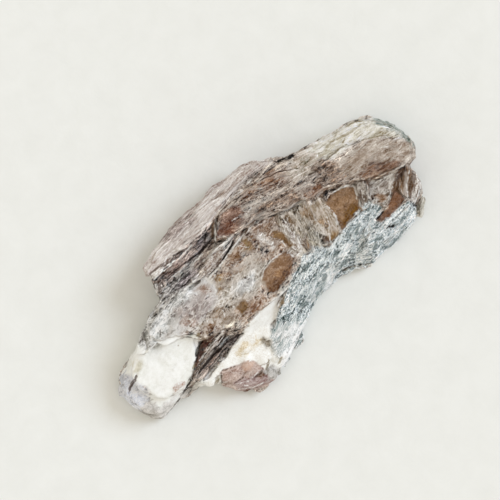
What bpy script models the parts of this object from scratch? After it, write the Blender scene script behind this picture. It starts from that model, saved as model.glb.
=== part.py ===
"""Raw alunite: one natural piece, a mass of cleavage blades grown together, lying on a flat contact face.

Units are metres, +Z is up. X runs along the blades from the thin rounded end to the thick end, Y across
them. The origin is under the middle of the piece, on the surface that it rests on.
Outlines are in millimetres, seen from above, counter-clockwise, and each starts near its end towards -X.
A blade is a stack of cleavage sheets between a foot outline and a rim outline, so that its sides step like
real cleavage edges. The blades are joined into one solid, which is thinned to a few thousand facets and cut
flat below.
"""

import bpy
import bmesh
from math import radians
from mathutils import Matrix, Vector, noise

MM = 0.001

# Driving dimensions, in millimetres.
OUTLINE_CENTRE = (0.874, 0.30)  # the place in the outlines that the part's origin stands under
SKIRT_HEIGHT = 2.4  # where the piece is widest, above its undercut
SKIRT_UNDERCUT = 4.4  # how far the contact face stands in from the widest line
SKIRT_RAGGED = 1.1  # how far the edge of the undercut wanders in and out
BODY_TAPER = 1.2  # how far the low body draws in from its foot to its top
SPREAD = 0.15  # added all round, because the joining and thinning draw the edges in
SHEET = 1.1  # thickness of one cleavage sheet in the stacks
SHEET_SHIFT = 0.4  # how far a whole sheet stands out or back from its neighbours
RAGGED = 0.5  # how far a sheet's edge wanders in and out
EDGE_SPACING = 1.6  # longest straight stretch of a sheet's edge
BURIED = 1.0  # how deep a blade is sunk into what carries it
CUT_DEPTH = 0.8  # material below the contact plane, removed by the flat cut
FLATNESS = 0.01  # corners this near to the contact plane are put on it
VOXEL = 0.45  # grid of the step that joins the blades
FACETS_KEPT = 0.09  # share of the joined surface's facets that the thinning keeps


def surface(z, x=0.0, y=0.0, rise_x=0.0, rise_y=0.0):
    """A sloping surface that passes through a point: its height over the outlines' zero, and its rises."""
    return (z - rise_x * x - rise_y * y, rise_x, rise_y)


def height(sloping, x, y):
    level, rise_x, rise_y = sloping
    return level + rise_x * x + rise_y * y


def raised(sloping, step):
    return (sloping[0] + step, sloping[1], sloping[2])


# The main sloping surfaces.
BODY_TOP = surface(7.4, rise_x=0.03)
CENTRE_TOP = surface(13.0, rise_x=0.045, rise_y=0.03)
UPPER_TOP = surface(15.6, rise_x=0.036, rise_y=-0.10)
PINK_TOP = surface(13.3, y=16.6, rise_y=-0.62)
CHALK_TOP = surface(9.3, x=-30.0, y=-2.0, rise_x=0.105, rise_y=0.04)
CREAM_TOP = surface(8.0, y=-11.0, rise_y=0.58)
FLANK_TOP = surface(12.7, y=-6.4, rise_y=0.68)
THICK_END_TOP = surface(12.3, x=35.0, y=-8.0, rise_x=0.045, rise_y=0.03)
KNOB_TOP = surface(6.7, y=-14.2, rise_y=0.35)
KNOB_LEDGE_TOP = surface(4.7, y=-18.2, rise_y=0.4)

SILHOUETTE = [
    (-45.0, -3.0), (-43.6, -7.4), (-41.0, -10.3), (-37.0, -10.6), (-32.0, -9.8), (-28.3, -12.2),
    (-24.6, -13.4), (-22.5, -17.8), (-17.5, -21.0), (-13.0, -21.8), (-7.0, -19.6), (0.5, -16.0),
    (8.0, -13.8), (13.5, -13.2), (17.5, -14.4), (20.0, -16.0), (28.0, -16.0), (34.0, -15.4), (36.4, -12.6), (40.2, -11.2), (41.2, -7.0),
    (42.0, -4.0), (45.4, -2.8), (46.2, -0.6), (45.2, 4.2), (41.8, 9.2), (38.0, 11.6), (31.0, 13.0),
    (22.5, 15.4), (16.5, 18.2), (12.0, 20.4), (4.0, 21.4), (-5.0, 20.8), (-13.0, 18.8), (-18.0, 15.2),
    (-22.0, 10.1), (-29.0, 7.8), (-35.5, 5.2), (-42.0, 3.4), (-44.6, 0.2),
]
BODY = [
    (-44.6, -3.0), (-43.2, -7.2), (-40.6, -9.9), (-36.8, -10.1), (-31.5, -9.4), (-27.0, -9.7), (-16.0, -11.0),
    (-8.0, -10.6), (0.0, -9.4), (8.0, -8.4), (14.0, -8.2), (20.0, -9.4), (28.0, -10.0), (36.0, -10.0),
    (40.4, -8.0), (41.0, -4.2), (45.0, -2.4), (45.6, -0.2), (44.4, 4.2), (41.2, 8.7), (37.7, 11.0),
    (30.8, 12.5), (22.3, 14.9), (16.3, 17.6), (11.8, 19.6), (4.0, 20.6), (-5.0, 20.0), (-12.8, 18.2),
    (-17.8, 14.9), (-21.8, 10.0), (-29.0, 7.6), (-35.5, 5.0), (-41.8, 3.0), (-44.2, 0.0),
]

CENTRE = [
    (-30.5, 5.0), (-28.0, 1.6), (-23.5, 0.0), (-20.5, -3.4), (-15.5, -4.6), (-13.0, -6.8), (-6.0, -7.0),
    (0.0, -7.2), (5.0, -6.0), (10.0, -4.4), (15.0, -6.4), (20.0, -5.9), (28.6, -5.2), (31.5, -1.0),
    (30.0, 3.0), (20.0, 8.0), (8.0, 11.0), (3.0, 9.3), (-5.0, 7.9), (-11.0, 7.2), (-16.0, 8.3),
    (-24.0, 8.3), (-29.0, 7.2),
]
# Thin plates left standing on the centre blade: outline and step above it.
CENTRE_PLATES = [
    ([(-29.5, 6.2), (-28.0, 2.8), (-24.6, 1.2), (-20.6, 0.2), (-17.0, 0.8), (-12.6, 1.9), (-12.2, 3.0),
      (-14.4, 4.8), (-15.4, 6.6), (-18.0, 7.8), (-24.0, 8.0)], 0.6),
    ([(-11.9, 1.8), (-7.0, 1.7), (-4.4, 4.0), (1.6, 3.6), (4.4, 4.8), (5.2, 7.2), (3.6, 8.8), (-1.0, 8.2),
      (-6.0, 7.4), (-9.4, 6.0)], 0.55),
    ([(-1.7, -2.0), (0.0, -5.2), (3.0, -5.5), (5.8, -4.6), (7.4, -1.6), (5.0, -0.1), (1.0, 0.3)], 0.5),
    ([(8.2, -0.8), (9.4, -3.4), (12.0, -4.4), (15.2, -6.1), (19.7, -5.7), (20.0, -4.2), (21.0, -2.4),
      (21.1, 1.4), (22.0, 3.7), (17.0, 5.6), (11.0, 7.2), (9.3, 5.6), (10.0, 3.2)], 0.6),
    ([(26.4, -4.9), (28.6, -5.3), (31.3, -1.3), (30.2, 0.9), (28.7, 0.2), (27.9, -1.6)], 0.9),
    ([(-10.2, -2.6), (-10.4, -5.6), (-5.4, -6.6), (-4.4, -4.4), (-7.0, -2.6)], 0.4),
]

UPPER_FOOT = [
    (-4.2, 12.0), (0.0, 10.3), (7.0, 8.7), (12.0, 7.0), (17.0, 5.7), (18.2, 3.9), (22.6, 3.9), (26.0, 2.1),
    (30.0, 0.3), (34.0, -2.0), (40.0, -3.9), (43.8, -4.0), (46.3, -1.6), (46.2, 0.8), (45.0, 4.8),
    (42.2, 8.8), (38.8, 11.3), (32.0, 12.8), (26.0, 14.5), (19.0, 16.5), (10.0, 18.4), (0.0, 17.2),
]
UPPER_RIM = [
    (-3.9, 12.0), (0.1, 10.4), (7.0, 8.9), (12.0, 7.2), (17.1, 5.9), (18.4, 4.1), (22.7, 4.1), (26.1, 2.3),
    (30.1, 0.4), (34.1, -1.9), (40.0, -3.7), (43.2, -3.6), (45.4, -1.5), (45.2, 0.8), (43.8, 4.4),
    (41.0, 8.0), (37.6, 10.2), (31.4, 11.6), (25.6, 13.4), (18.8, 15.4), (10.0, 17.0), (0.8, 16.4),
]
# Sheets on the upper blade: outline and height over its own top.
UPPER_SHEETS = [
    ([(-3.4, 12.1), (0.4, 10.6), (7.0, 9.1), (12.0, 7.4), (17.2, 6.1), (18.6, 4.3), (22.8, 4.3), (26.2, 2.4),
      (30.2, 0.6), (34.2, -1.7), (40.0, -3.4), (42.6, -3.2), (44.4, -1.4), (44.2, 0.6), (41.6, 3.8),
      (37.4, 6.4), (33.0, 7.8), (28.0, 9.4), (22.6, 11.8), (17.6, 14.0), (10.0, 16.0), (1.4, 15.8)], 0.0),
    ([(-3.0, 12.2), (0.6, 10.8), (7.0, 9.4), (12.0, 7.8), (17.4, 6.6), (21.0, 8.0), (19.6, 11.0),
      (16.4, 13.4), (9.6, 15.4), (1.8, 15.3)], 0.55),
    ([(23.6, 7.2), (27.0, 3.2), (31.0, 1.2), (34.6, -0.9), (39.6, -2.4), (42.4, -1.0), (38.6, 2.6),
      (32.0, 6.2), (27.4, 8.2)], 0.4),
]
UPPER_SHEET_THICKNESS = 1.2

PINK_BLADE = [
    (-21.2, 16.6), (-19.5, 15.4), (-13.0, 15.8), (-5.0, 15.1), (-0.8, 15.8), (6.0, 16.9), (12.0, 17.0),
    (18.6, 16.0), (18.4, 17.4), (14.8, 19.9), (11.0, 20.8), (4.0, 21.6), (-4.0, 21.2), (-11.0, 20.6),
    (-15.5, 19.8), (-20.2, 18.2),
]
PINK_THICKNESS = 3.4
# A second, thinner sheet lying on the outer half of the pink blade.
PINK_SHEET = [
    (-18.0, 18.0), (-8.0, 17.7), (2.0, 18.0), (10.0, 18.3), (15.4, 18.4), (13.4, 19.8), (4.0, 21.0),
    (-4.0, 20.6), (-11.0, 20.0), (-15.4, 19.2),
]
PINK_SHEET_STEP = 0.6

CHALK_FACET = [
    (-40.2, -1.6), (-39.0, -5.4), (-36.6, -8.0), (-32.5, -8.9), (-28.6, -7.9), (-25.2, -5.4), (-22.4, -2.8),
    (-21.8, -1.2), (-24.5, 0.6), (-28.0, 2.4), (-31.0, 4.0), (-32.6, 5.6), (-36.0, 4.8), (-38.8, 2.2),
]
CREAM_FOOT = [
    (-29.6, -10.4), (-28.0, -12.3), (-24.0, -13.0), (-19.0, -13.6), (-15.4, -17.6), (-13.0, -20.6),
    (-8.0, -19.4), (-4.0, -17.0), (-1.0, -12.0), (1.5, -8.2), (-5.0, -6.8), (-13.0, -7.4), (-20.0, -9.2),
]
CREAM_RIM = [
    (-27.6, -10.2), (-26.4, -11.2), (-23.0, -11.4), (-18.6, -12.2), (-14.6, -15.6), (-12.0, -17.8),
    (-8.6, -16.6), (-5.0, -14.2), (-2.0, -11.0), (0.5, -8.2), (-5.0, -7.2), (-13.0, -8.0), (-20.0, -9.8),
]
FLANK_FOOT = [
    (-12.6, -19.8), (-11.6, -21.2), (-6.0, -18.9), (1.0, -15.8), (8.0, -13.7), (13.5, -13.1), (17.0, -14.2),
    (20.5, -15.6), (28.0, -14.4), (30.0, -8.6), (28.8, -5.4), (20.0, -5.9), (14.5, -6.4), (10.0, -4.4),
    (5.0, -5.9), (0.0, -7.6), (-5.0, -10.4), (-10.0, -14.4),
]
FLANK_RIM = [
    (-11.6, -18.2), (-9.4, -18.0), (-4.4, -14.6), (1.0, -11.0), (7.0, -9.0), (12.5, -8.8), (16.5, -10.4),
    (20.5, -11.4), (27.5, -9.8), (29.2, -7.8), (28.8, -5.4), (20.0, -5.9), (14.5, -6.2), (10.0, -4.4),
    (5.0, -5.9), (0.0, -7.6), (-5.0, -10.4), (-10.0, -14.6),
]
THICK_END_FOOT = [
    (17.5, -13.4), (20.0, -16.2), (28.0, -16.2), (33.8, -15.6), (36.0, -14.2), (36.5, -12.3), (39.6, -11.6),
    (40.9, -9.8), (41.1, -7.0), (40.8, -3.6), (31.0, -1.6), (28.8, -6.2), (21.5, -9.0),
]
THICK_END_RIM = [
    (21.5, -11.8), (24.0, -12.3), (28.6, -12.2), (32.6, -11.6), (34.8, -11.3), (35.9, -10.9), (38.6, -10.3),
    (40.2, -9.0), (40.8, -7.0), (40.6, -3.8), (31.4, -2.0), (29.4, -6.8), (23.0, -9.6),
]
GREY_PLATE = [
    (29.4, -1.4), (29.4, -6.0), (31.0, -8.0), (33.2, -7.6), (38.4, -4.4), (40.2, -3.6), (34.0, -1.2),
]
GREY_PLATE_STEP = 1.1  # above the thick end's top

# The mauve knob: two lobes side by side over a lower ledge.
KNOB_LEDGE = [
    (-25.0, -14.4), (-23.4, -17.2), (-20.6, -19.6), (-17.4, -21.2), (-14.4, -21.9), (-13.4, -19.4),
    (-15.0, -16.4), (-19.0, -12.8), (-23.0, -11.8), (-24.8, -12.8),
]
KNOB_LOBES = [
    [(-24.6, -14.0), (-22.6, -15.8), (-20.0, -16.2), (-18.6, -15.0), (-18.8, -12.8), (-20.8, -12.0),
     (-23.2, -11.8)],
    [(-19.6, -15.6), (-19.0, -17.2), (-16.6, -18.0), (-15.2, -16.8), (-15.6, -14.2), (-17.4, -13.4),
     (-19.2, -14.2)],
]
KNOB_ROUNDING = 0.8

# Thin sheets standing in the hollow beside the pink blade: outline, height of their middle and rise along Y.
HOLLOW_SHEETS = [
    ([(-20.8, 15.2), (-19.8, 13.9), (-12.0, 13.5), (-5.0, 14.0), (-2.6, 15.2), (-12.0, 16.2)], 12.0, 0.35),
    ([(-20.2, 13.0), (-15.0, 12.5), (-7.0, 12.9), (-4.6, 13.7), (-12.0, 14.3), (-18.0, 14.3)], 10.9, 0.20),
    ([(-22.4, 9.8), (-15.0, 8.8), (-7.0, 9.7), (-2.0, 10.9), (-6.0, 12.0), (-15.0, 12.0), (-20.0, 11.4)],
     11.2, -0.40),
    ([(-14.2, 8.5), (-10.8, 7.3), (-4.6, 8.3), (4.4, 9.9), (0.6, 10.7), (-5.0, 10.7), (-10.0, 9.7)],
     13.4, 0.10),
]
# Narrow ridges in the dark fold between the chalk facet and the cream matrix.
FOLD_RIDGES = [
    ([(-29.4, -8.9), (-24.4, -7.6), (-19.5, -6.2), (-15.8, -5.4), (-15.5, -4.5), (-19.0, -4.6),
      (-24.4, -6.6)], 9.7, 0.0),
    ([(-28.6, -9.8), (-21.0, -9.2), (-14.0, -8.0), (-13.2, -6.6), (-17.5, -6.8), (-23.0, -8.0)], 8.9, 0.0),
]
# Flakes low on the -Y side, and the short fin under the pink blade's tip: outline, bottom and top.
SIDE_FLAKES = [
    ([(35.8, -15.3), (37.6, -14.9), (39.4, -13.4), (39.7, -12.4), (38.0, -12.6), (35.4, -13.6)], 1.6, 3.6),
    ([(12.5, -13.0), (14.5, -13.8), (17.0, -14.6), (19.4, -16.4), (20.8, -15.4), (17.5, -12.6)], 0.9, 2.6),
    ([(-21.8, 10.9), (-18.8, 10.8), (-18.2, 13.4), (-20.4, 14.4), (-21.2, 13.0)], 6.4, 11.4),
]
# Crumbly lumps in the cream matrix: centre and radius.
CREAM_LUMPS = [
    ((-26.4, -11.2, 6.6), 1.6), ((-21.5, -10.6, 7.4), 1.6), ((-15.4, -10.8, 7.6), 1.8),
    ((-13.6, -15.4, 5.2), 2.0), ((-9.6, -17.4, 4.2), 1.9), ((-8.8, -11.6, 7.2), 2.1),
    ((-16.8, -13.0, 6.6), 1.5), ((-3.6, -9.4, 8.6), 1.6),
]
LUMP_FLATNESS = 0.8


def inset(outline, distance):
    """The outline moved inwards by a distance, at right angles to its run at each corner."""
    moved = []
    count = len(outline)
    for i, (x, y) in enumerate(outline):
        before = outline[i - 1]
        after = outline[(i + 1) % count]
        run = Vector((after[0] - before[0], after[1] - before[1])).normalized()
        moved.append((x - run.y * distance, y + run.x * distance))
    return moved


def ring(foot, rim, share, ragged, seed):
    """The closed line of one sheet's edge, this share of the way from the foot outline to the rim outline."""
    points = []
    count = len(foot)
    shift = noise.noise(Vector((seed * 1.37, 0.5, 0.5))) * 2.0 * SHEET_SHIFT + SPREAD
    for i in range(count):
        start, end = Vector(foot[i]), Vector(foot[(i + 1) % count])
        rim_start, rim_end = Vector(rim[i]), Vector(rim[(i + 1) % count])
        steps = max(1, round((end - start).length / EDGE_SPACING))
        outwards = Vector(((end - start).y, -(end - start).x)).normalized()
        for step in range(steps):
            part = step / steps
            point = start.lerp(end, part).lerp(rim_start.lerp(rim_end, part), share)
            wander = noise.noise(Vector((point.x * 0.22, point.y * 0.45, seed * 3.7))) * 2.0 * ragged
            points.append(point + outwards * (wander + shift))
    return points


def add_prism(solid, points, bottom, top):
    """A closed prism between two surfaces over one ring of points."""
    low = [solid.verts.new((p.x, p.y, height(bottom, p.x, p.y))) for p in points]
    high = [solid.verts.new((p.x, p.y, height(top, p.x, p.y))) for p in points]
    count = len(points)
    for i in range(count):
        after = (i + 1) % count
        solid.faces.new((low[i], low[after], high[after], high[i]))
    solid.faces.new(high)
    solid.faces.new(list(reversed(low)))


def add_blade(solid, foot, rim, bottom, top, seed, ragged=RAGGED):
    """A blade as a stack of sheets, each reaching a little into the one below it."""
    middle = foot[len(foot) // 2]
    thickness = height(top, *middle) - height(bottom, *middle)
    sheets = max(1, round(thickness / SHEET))
    for sheet in range(sheets):
        low = [b + (t - b) * sheet / sheets for b, t in zip(bottom, top)]
        high = [b + (t - b) * (sheet + 1) / sheets for b, t in zip(bottom, top)]
        points = ring(foot, rim, (sheet + 0.5) / sheets, ragged, seed + sheet)
        overlap = 0.3 if sheet else 0.0
        add_prism(solid, points, raised(low, -overlap), high)


def add_low_body(solid):
    """The undercut skirt, and the low body that carries the blades."""
    skirt_top = surface(SKIRT_HEIGHT)
    contact = inset(SILHOUETTE, SKIRT_UNDERCUT)
    add_blade(solid, contact, SILHOUETTE, surface(-CUT_DEPTH), skirt_top, seed=1, ragged=SKIRT_RAGGED)
    add_blade(solid, BODY, inset(BODY, BODY_TAPER), raised(skirt_top, -BURIED), BODY_TOP, seed=11)


def add_thin_end(solid):
    """The chalky facet, the ridges of the dark fold, and the mauve knob."""
    sunk_body = raised(BODY_TOP, -BURIED)
    skirt_top = surface(SKIRT_HEIGHT)
    add_blade(solid, CHALK_FACET, inset(CHALK_FACET, 0.5), sunk_body, CHALK_TOP, seed=21)
    add_standing_sheets(solid, FOLD_RIDGES, seed=401)
    add_blade(solid, KNOB_LEDGE, inset(KNOB_LEDGE, KNOB_ROUNDING), skirt_top, KNOB_LEDGE_TOP, seed=501)
    for number, lobe in enumerate(KNOB_LOBES):
        add_blade(solid, lobe, inset(lobe, KNOB_ROUNDING), skirt_top, KNOB_TOP, seed=511 + 10 * number)


def add_centre(solid):
    """The broad centre blade and the thin plates on it."""
    add_blade(solid, CENTRE, inset(CENTRE, 0.3), raised(BODY_TOP, -BURIED), CENTRE_TOP, seed=41)
    sunk_centre = raised(CENTRE_TOP, -BURIED)
    for number, (plate, step) in enumerate(CENTRE_PLATES):
        add_blade(solid, plate, inset(plate, 0.2), sunk_centre, raised(CENTRE_TOP, step), seed=51 + number)


def add_long_side(solid):
    """The -Y side: the cream matrix, the fibrous flank and the thick end's block."""
    skirt_top = surface(SKIRT_HEIGHT)
    add_blade(solid, CREAM_FOOT, CREAM_RIM, skirt_top, CREAM_TOP, seed=31)
    for centre, radius in CREAM_LUMPS:
        add_lump(solid, centre, radius)
    add_blade(solid, FLANK_FOOT, FLANK_RIM, skirt_top, FLANK_TOP, seed=61)
    add_blade(solid, THICK_END_FOOT, THICK_END_RIM, skirt_top, THICK_END_TOP, seed=81)
    plate_top = raised(THICK_END_TOP, GREY_PLATE_STEP)
    add_blade(solid, GREY_PLATE, inset(GREY_PLATE, 0.2), raised(THICK_END_TOP, -BURIED), plate_top, seed=91)


def add_upper_side(solid):
    """The +Y side: the pink blade, the hollow beside it and the upper blade, which hangs over the centre."""
    pink_bottom = raised(PINK_TOP, -PINK_THICKNESS)
    add_blade(solid, PINK_BLADE, inset(PINK_BLADE, 0.3), pink_bottom, PINK_TOP, seed=101)
    sheet_top = raised(PINK_TOP, PINK_SHEET_STEP)
    add_blade(solid, PINK_SHEET, inset(PINK_SHEET, 0.2), raised(PINK_TOP, -BURIED), sheet_top, seed=108)
    add_standing_sheets(solid, HOLLOW_SHEETS, seed=201)
    base_top = raised(UPPER_TOP, -UPPER_SHEET_THICKNESS)
    add_blade(solid, UPPER_FOOT, UPPER_RIM, raised(BODY_TOP, -BURIED), base_top, seed=111)
    for number, (sheet, step) in enumerate(UPPER_SHEETS):
        top = raised(UPPER_TOP, step)
        add_blade(solid, sheet, inset(sheet, 0.2), raised(base_top, -BURIED), top, seed=131 + 5 * number)


def add_standing_sheets(solid, sheets, seed):
    for number, (outline, middle_height, rise_y) in enumerate(sheets):
        middle_y = sum(y for _, y in outline) / len(outline)
        top = surface(middle_height, y=middle_y, rise_y=rise_y)
        add_blade(solid, outline, inset(outline, 0.2), raised(BODY_TOP, -BURIED), top, seed + 10 * number)


def add_side_flakes(solid):
    for outline, bottom, top in SIDE_FLAKES:
        add_blade(solid, outline, inset(outline, 0.2), surface(bottom), surface(top), seed=301)


def add_lump(solid, centre, radius):
    """A flattened ball."""
    squash = Matrix.Diagonal((radius, radius, radius * LUMP_FLATNESS, 1.0))
    place = Matrix.Translation(centre) @ Matrix.Rotation(radians(20.0), 4, "Z")
    bmesh.ops.create_icosphere(solid, subdivisions=2, radius=1.0, matrix=place @ squash)


def alunite_material():
    """Grey-brown blades with a pearly, half-matt surface."""
    material = bpy.data.materials.new("alunite_brown_grey")
    material.use_nodes = True
    shader = material.node_tree.nodes["Principled BSDF"]
    shader.inputs["Base Color"].default_value = (0.42, 0.34, 0.29, 1.0)
    shader.inputs["Roughness"].default_value = 0.5
    shader.inputs["Metallic"].default_value = 0.0
    return material


def joined_blades():
    """One object whose modifiers join the overlapping blades and thin the result."""
    solid = bmesh.new()
    add_low_body(solid)
    add_thin_end(solid)
    add_centre(solid)
    add_long_side(solid)
    add_upper_side(solid)
    add_side_flakes(solid)
    to_metres = Matrix.Scale(MM, 4) @ Matrix.Translation((-OUTLINE_CENTRE[0], -OUTLINE_CENTRE[1], 0.0))
    bmesh.ops.transform(solid, matrix=to_metres, verts=solid.verts)
    mesh = bpy.data.meshes.new("blades")
    solid.to_mesh(mesh)
    solid.free()
    blades = bpy.data.objects.new("blades", mesh)
    bpy.context.scene.collection.objects.link(blades)
    join = blades.modifiers.new("join", "REMESH")
    join.mode = "VOXEL"
    join.voxel_size = VOXEL * MM
    thin = blades.modifiers.new("thin", "DECIMATE")
    thin.ratio = FACETS_KEPT
    return blades


def cut_flat(solid):
    """Removes what lies below the contact plane and closes the cut with one flat face."""
    everything = solid.verts[:] + solid.edges[:] + solid.faces[:]
    cut = bmesh.ops.bisect_plane(
        solid, geom=everything, plane_co=(0.0, 0.0, 0.0), plane_no=(0.0, 0.0, 1.0), clear_inner=True,
        dist=1e-6,
    )
    for corner in solid.verts:
        if abs(corner.co.z) < FLATNESS * MM:
            corner.co.z = 0.0
    border = [edge for edge in cut["geom_cut"] if isinstance(edge, bmesh.types.BMEdge)]
    bmesh.ops.triangle_fill(solid, edges=border, use_beauty=True, normal=(0.0, 0.0, -1.0))
    bmesh.ops.recalc_face_normals(solid, faces=solid.faces[:])


def build_alunite():
    blades = joined_blades()
    evaluated = blades.evaluated_get(bpy.context.evaluated_depsgraph_get())
    solid = bmesh.new()
    solid.from_mesh(evaluated.to_mesh())
    cut_flat(solid)
    mesh = bpy.data.meshes.new("alunite")
    solid.to_mesh(mesh)
    solid.free()
    bpy.data.objects.remove(blades)
    mesh.materials.append(alunite_material())
    alunite = bpy.data.objects.new("alunite", mesh)
    bpy.context.scene.collection.objects.link(alunite)
    return alunite


for leftover in list(bpy.data.objects):
    bpy.data.objects.remove(leftover)
build_alunite()
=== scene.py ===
"""Looks of the raw alunite: the CAD solid is replaced by a finely layered mesh of the same blades, with
loose cleavage flakes on it, painted by procedural nodes.

Outlines, relief and patches are in millimetres in the outline plane, whose place OUTLINE_CENTRE stands
over the part's origin. Their corners are written as x,y pairs. Colours are sRGB, 0 to 255.
"""

from itertools import product
from math import cos, pi, radians, sin

import bmesh
import bpy
import numpy as np
from mathutils import Matrix, Vector
from mathutils.bvhtree import BVHTree


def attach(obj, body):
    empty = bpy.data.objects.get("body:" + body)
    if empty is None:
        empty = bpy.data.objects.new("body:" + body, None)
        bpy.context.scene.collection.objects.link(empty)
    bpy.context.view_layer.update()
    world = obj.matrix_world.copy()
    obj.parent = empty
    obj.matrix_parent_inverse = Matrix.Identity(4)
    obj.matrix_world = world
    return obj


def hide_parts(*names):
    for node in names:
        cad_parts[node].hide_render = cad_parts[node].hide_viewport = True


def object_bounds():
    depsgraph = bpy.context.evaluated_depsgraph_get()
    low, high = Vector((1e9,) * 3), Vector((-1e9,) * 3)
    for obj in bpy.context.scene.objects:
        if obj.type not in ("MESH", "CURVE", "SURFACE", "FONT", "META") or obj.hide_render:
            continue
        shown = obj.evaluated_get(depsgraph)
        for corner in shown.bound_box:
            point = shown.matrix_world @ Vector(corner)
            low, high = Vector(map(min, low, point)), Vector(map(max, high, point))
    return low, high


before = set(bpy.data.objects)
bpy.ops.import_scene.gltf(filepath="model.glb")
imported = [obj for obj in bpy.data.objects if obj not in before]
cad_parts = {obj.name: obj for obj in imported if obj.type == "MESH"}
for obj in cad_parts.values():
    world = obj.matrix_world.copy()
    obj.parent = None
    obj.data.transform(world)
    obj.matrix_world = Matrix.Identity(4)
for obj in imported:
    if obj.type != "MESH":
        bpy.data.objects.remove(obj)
cad_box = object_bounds()

MM = 0.001
NODE = "alunite"
OUTLINE_CENTRE = (0.874, 0.30)

# ---------------------------------------------------------------- the shape's driving sizes, in millimetres
# The skirt is the lowest part, which narrows to the contact face.
SKIRT_HEIGHT = 2.4
SKIRT_UNDERCUT = 4.4
SKIRT_RAGGED = 1.1
BODY_TAPER = 1.2
# One sheet's thickness, how far it may lie in or out, and how ragged its edge is.
SHEET = 0.55
SHEET_SHIFT = 0.34
RAGGED = 0.42
RAGGED_FINE = 0.22
EDGE_SPACING = 0.5
# How far a blade reaches into the one below, a sheet into the next, and the lowest one below the cut.
BURIED = 1.0
OVERLAP = 0.25
CUT_DEPTH = 0.8
VOXEL = 0.25
TRIANGLES = 190000
# The clear space to the solid's box, and the last stretch before it that is squeezed.
BOX_MARGIN = 0.02
SQUEEZED = 2.5


def xy(text):
    """The corners of an outline or a line, or a tone's shades: numbers joined by commas, rows by spaces."""
    return [tuple(float(part) for part in pair.split(",")) for pair in text.split()]


def strokes(text):
    """Painted lines parted by semicolons, each its half width and then its corners."""
    rows = [row.split(maxsplit=1) for row in text.split(";")]
    return [(float(half_width), xy(line)) for half_width, line in rows]


def surface(z, x=0.0, y=0.0, rise_x=0.0, rise_y=0.0):
    """A sloping surface through a point: its height over the outlines' zero, and its rises."""
    return (z - rise_x * x - rise_y * y, rise_x, rise_y)


def height(sloping, x, y):
    level, rise_x, rise_y = sloping
    return level + rise_x * x + rise_y * y


def raised(sloping, step):
    return (sloping[0] + step, sloping[1], sloping[2])


BODY_TOP = surface(7.4, rise_x=0.03)
CENTRE_TOP = surface(13.0, rise_x=0.045, rise_y=0.03)
UPPER_TOP = surface(15.6, rise_x=0.036, rise_y=-0.10)
PINK_TOP = surface(13.3, y=16.6, rise_y=-0.62)
CHALK_TOP = surface(9.3, x=-30.0, y=-2.0, rise_x=0.105, rise_y=0.04)
CREAM_TOP = surface(8.0, y=-11.0, rise_y=0.58)
FLANK_TOP = surface(12.7, y=-6.4, rise_y=0.68)
THICK_END_TOP = surface(12.3, x=35.0, y=-8.0, rise_x=0.045, rise_y=0.03)
KNOB_TOP = surface(6.7, y=-14.2, rise_y=0.35)
KNOB_LEDGE_TOP = surface(4.7, y=-18.2, rise_y=0.4)

SILHOUETTE = xy("""-45,-3 -43.6,-7.4 -41,-10.3 -37,-10.6 -32,-9.8 -28.3,-12.2 -24.6,-13.4 -22.5,-17.8
    -17.5,-21 -13,-21.8 -7,-19.6 0.5,-16 8,-13.8 13.5,-13.2 17.5,-14.4 20,-16 28,-16 34,-15.4 36.4,-12.6
    40.2,-11.2 41.2,-7 42,-4 45.4,-2.8 46.2,-0.6 45.2,4.2 41.8,9.2 38,11.6 31,13 22.5,15.4 16.5,18.2 12,20.4
    4,21.4 -5,20.8 -13,18.8 -18,15.2 -22,10.1 -29,7.8 -35.5,5.2 -42,3.4 -44.6,0.2""")
BODY = xy("""-44.6,-3 -43.2,-7.2 -40.6,-9.9 -36.8,-10.1 -31.5,-9.4 -27,-9.7 -16,-11 -8,-10.6 0,-9.4 8,-8.4
    14,-8.2 20,-9.4 28,-10 36,-10 40.4,-8 41,-4.2 45,-2.4 45.6,-0.2 44.4,4.2 41.2,8.7 37.7,11 30.8,12.5
    22.3,14.9 16.3,17.6 11.8,19.6 4,20.6 -5,20 -12.8,18.2 -17.8,14.9 -21.8,10 -29,7.6 -35.5,5 -41.8,3
    -44.2,0""")
CENTRE = xy("""-30.5,5 -28,1.6 -23.5,0 -20.5,-3.4 -15.5,-4.6 -13,-6.8 -6,-7 0,-7.2 5,-6 10,-4.4 15,-6.4
    20,-5.9 28.6,-5.2 31.5,-1 30,3 20,8 8,11 3,9.3 -5,7.9 -11,7.2 -16,8.3 -24,8.3 -29,7.2""")
CENTRE_PLATES = [
    (xy("""-29.5,6.2 -28,2.8 -24.6,1.2 -20.6,0.2 -17,0.8 -12.6,1.9 -12.2,3 -14.4,4.8 -15.4,6.6 -18,7.8
        -24,8"""), 0.6),
    (xy("-11.9,1.8 -7,1.7 -4.4,4 1.6,3.6 4.4,4.8 5.2,7.2 3.6,8.8 -1,8.2 -6,7.4 -9.4,6"), 0.4),
    (xy("-1.7,-2 0,-5.2 3,-5.5 5.8,-4.6 7.4,-1.6 5,-0.1 1,0.3"), 0.35),
    (xy("""8.2,-0.8 9.4,-3.4 12,-4.4 15.2,-6.1 19.7,-5.7 20,-4.2 21,-2.4 21.1,1.4 22,3.7 17,5.6 11,7.2
        9.3,5.6 10,3.2"""), 0.5),
    (xy("26.4,-4.9 28.6,-5.3 31.3,-1.3 30.2,0.9 28.7,0.2 27.9,-1.6"), 0.8),
    (xy("-10.2,-2.6 -10.4,-5.6 -5.4,-6.6 -4.4,-4.4 -7,-2.6"), 0.3),
]
UPPER_FOOT = xy("""-4.2,12 0,10.3 7,8.7 12,7 17,5.7 18.2,3.9 22.6,3.9 26,2.1 30,0.3 34,-2 40,-3.9 43.8,-4
    46.3,-1.6 46.2,0.8 45,4.8 42.2,8.8 38.8,11.3 32,12.8 26,14.5 19,16.5 10,18.4 0,17.2""")
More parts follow.
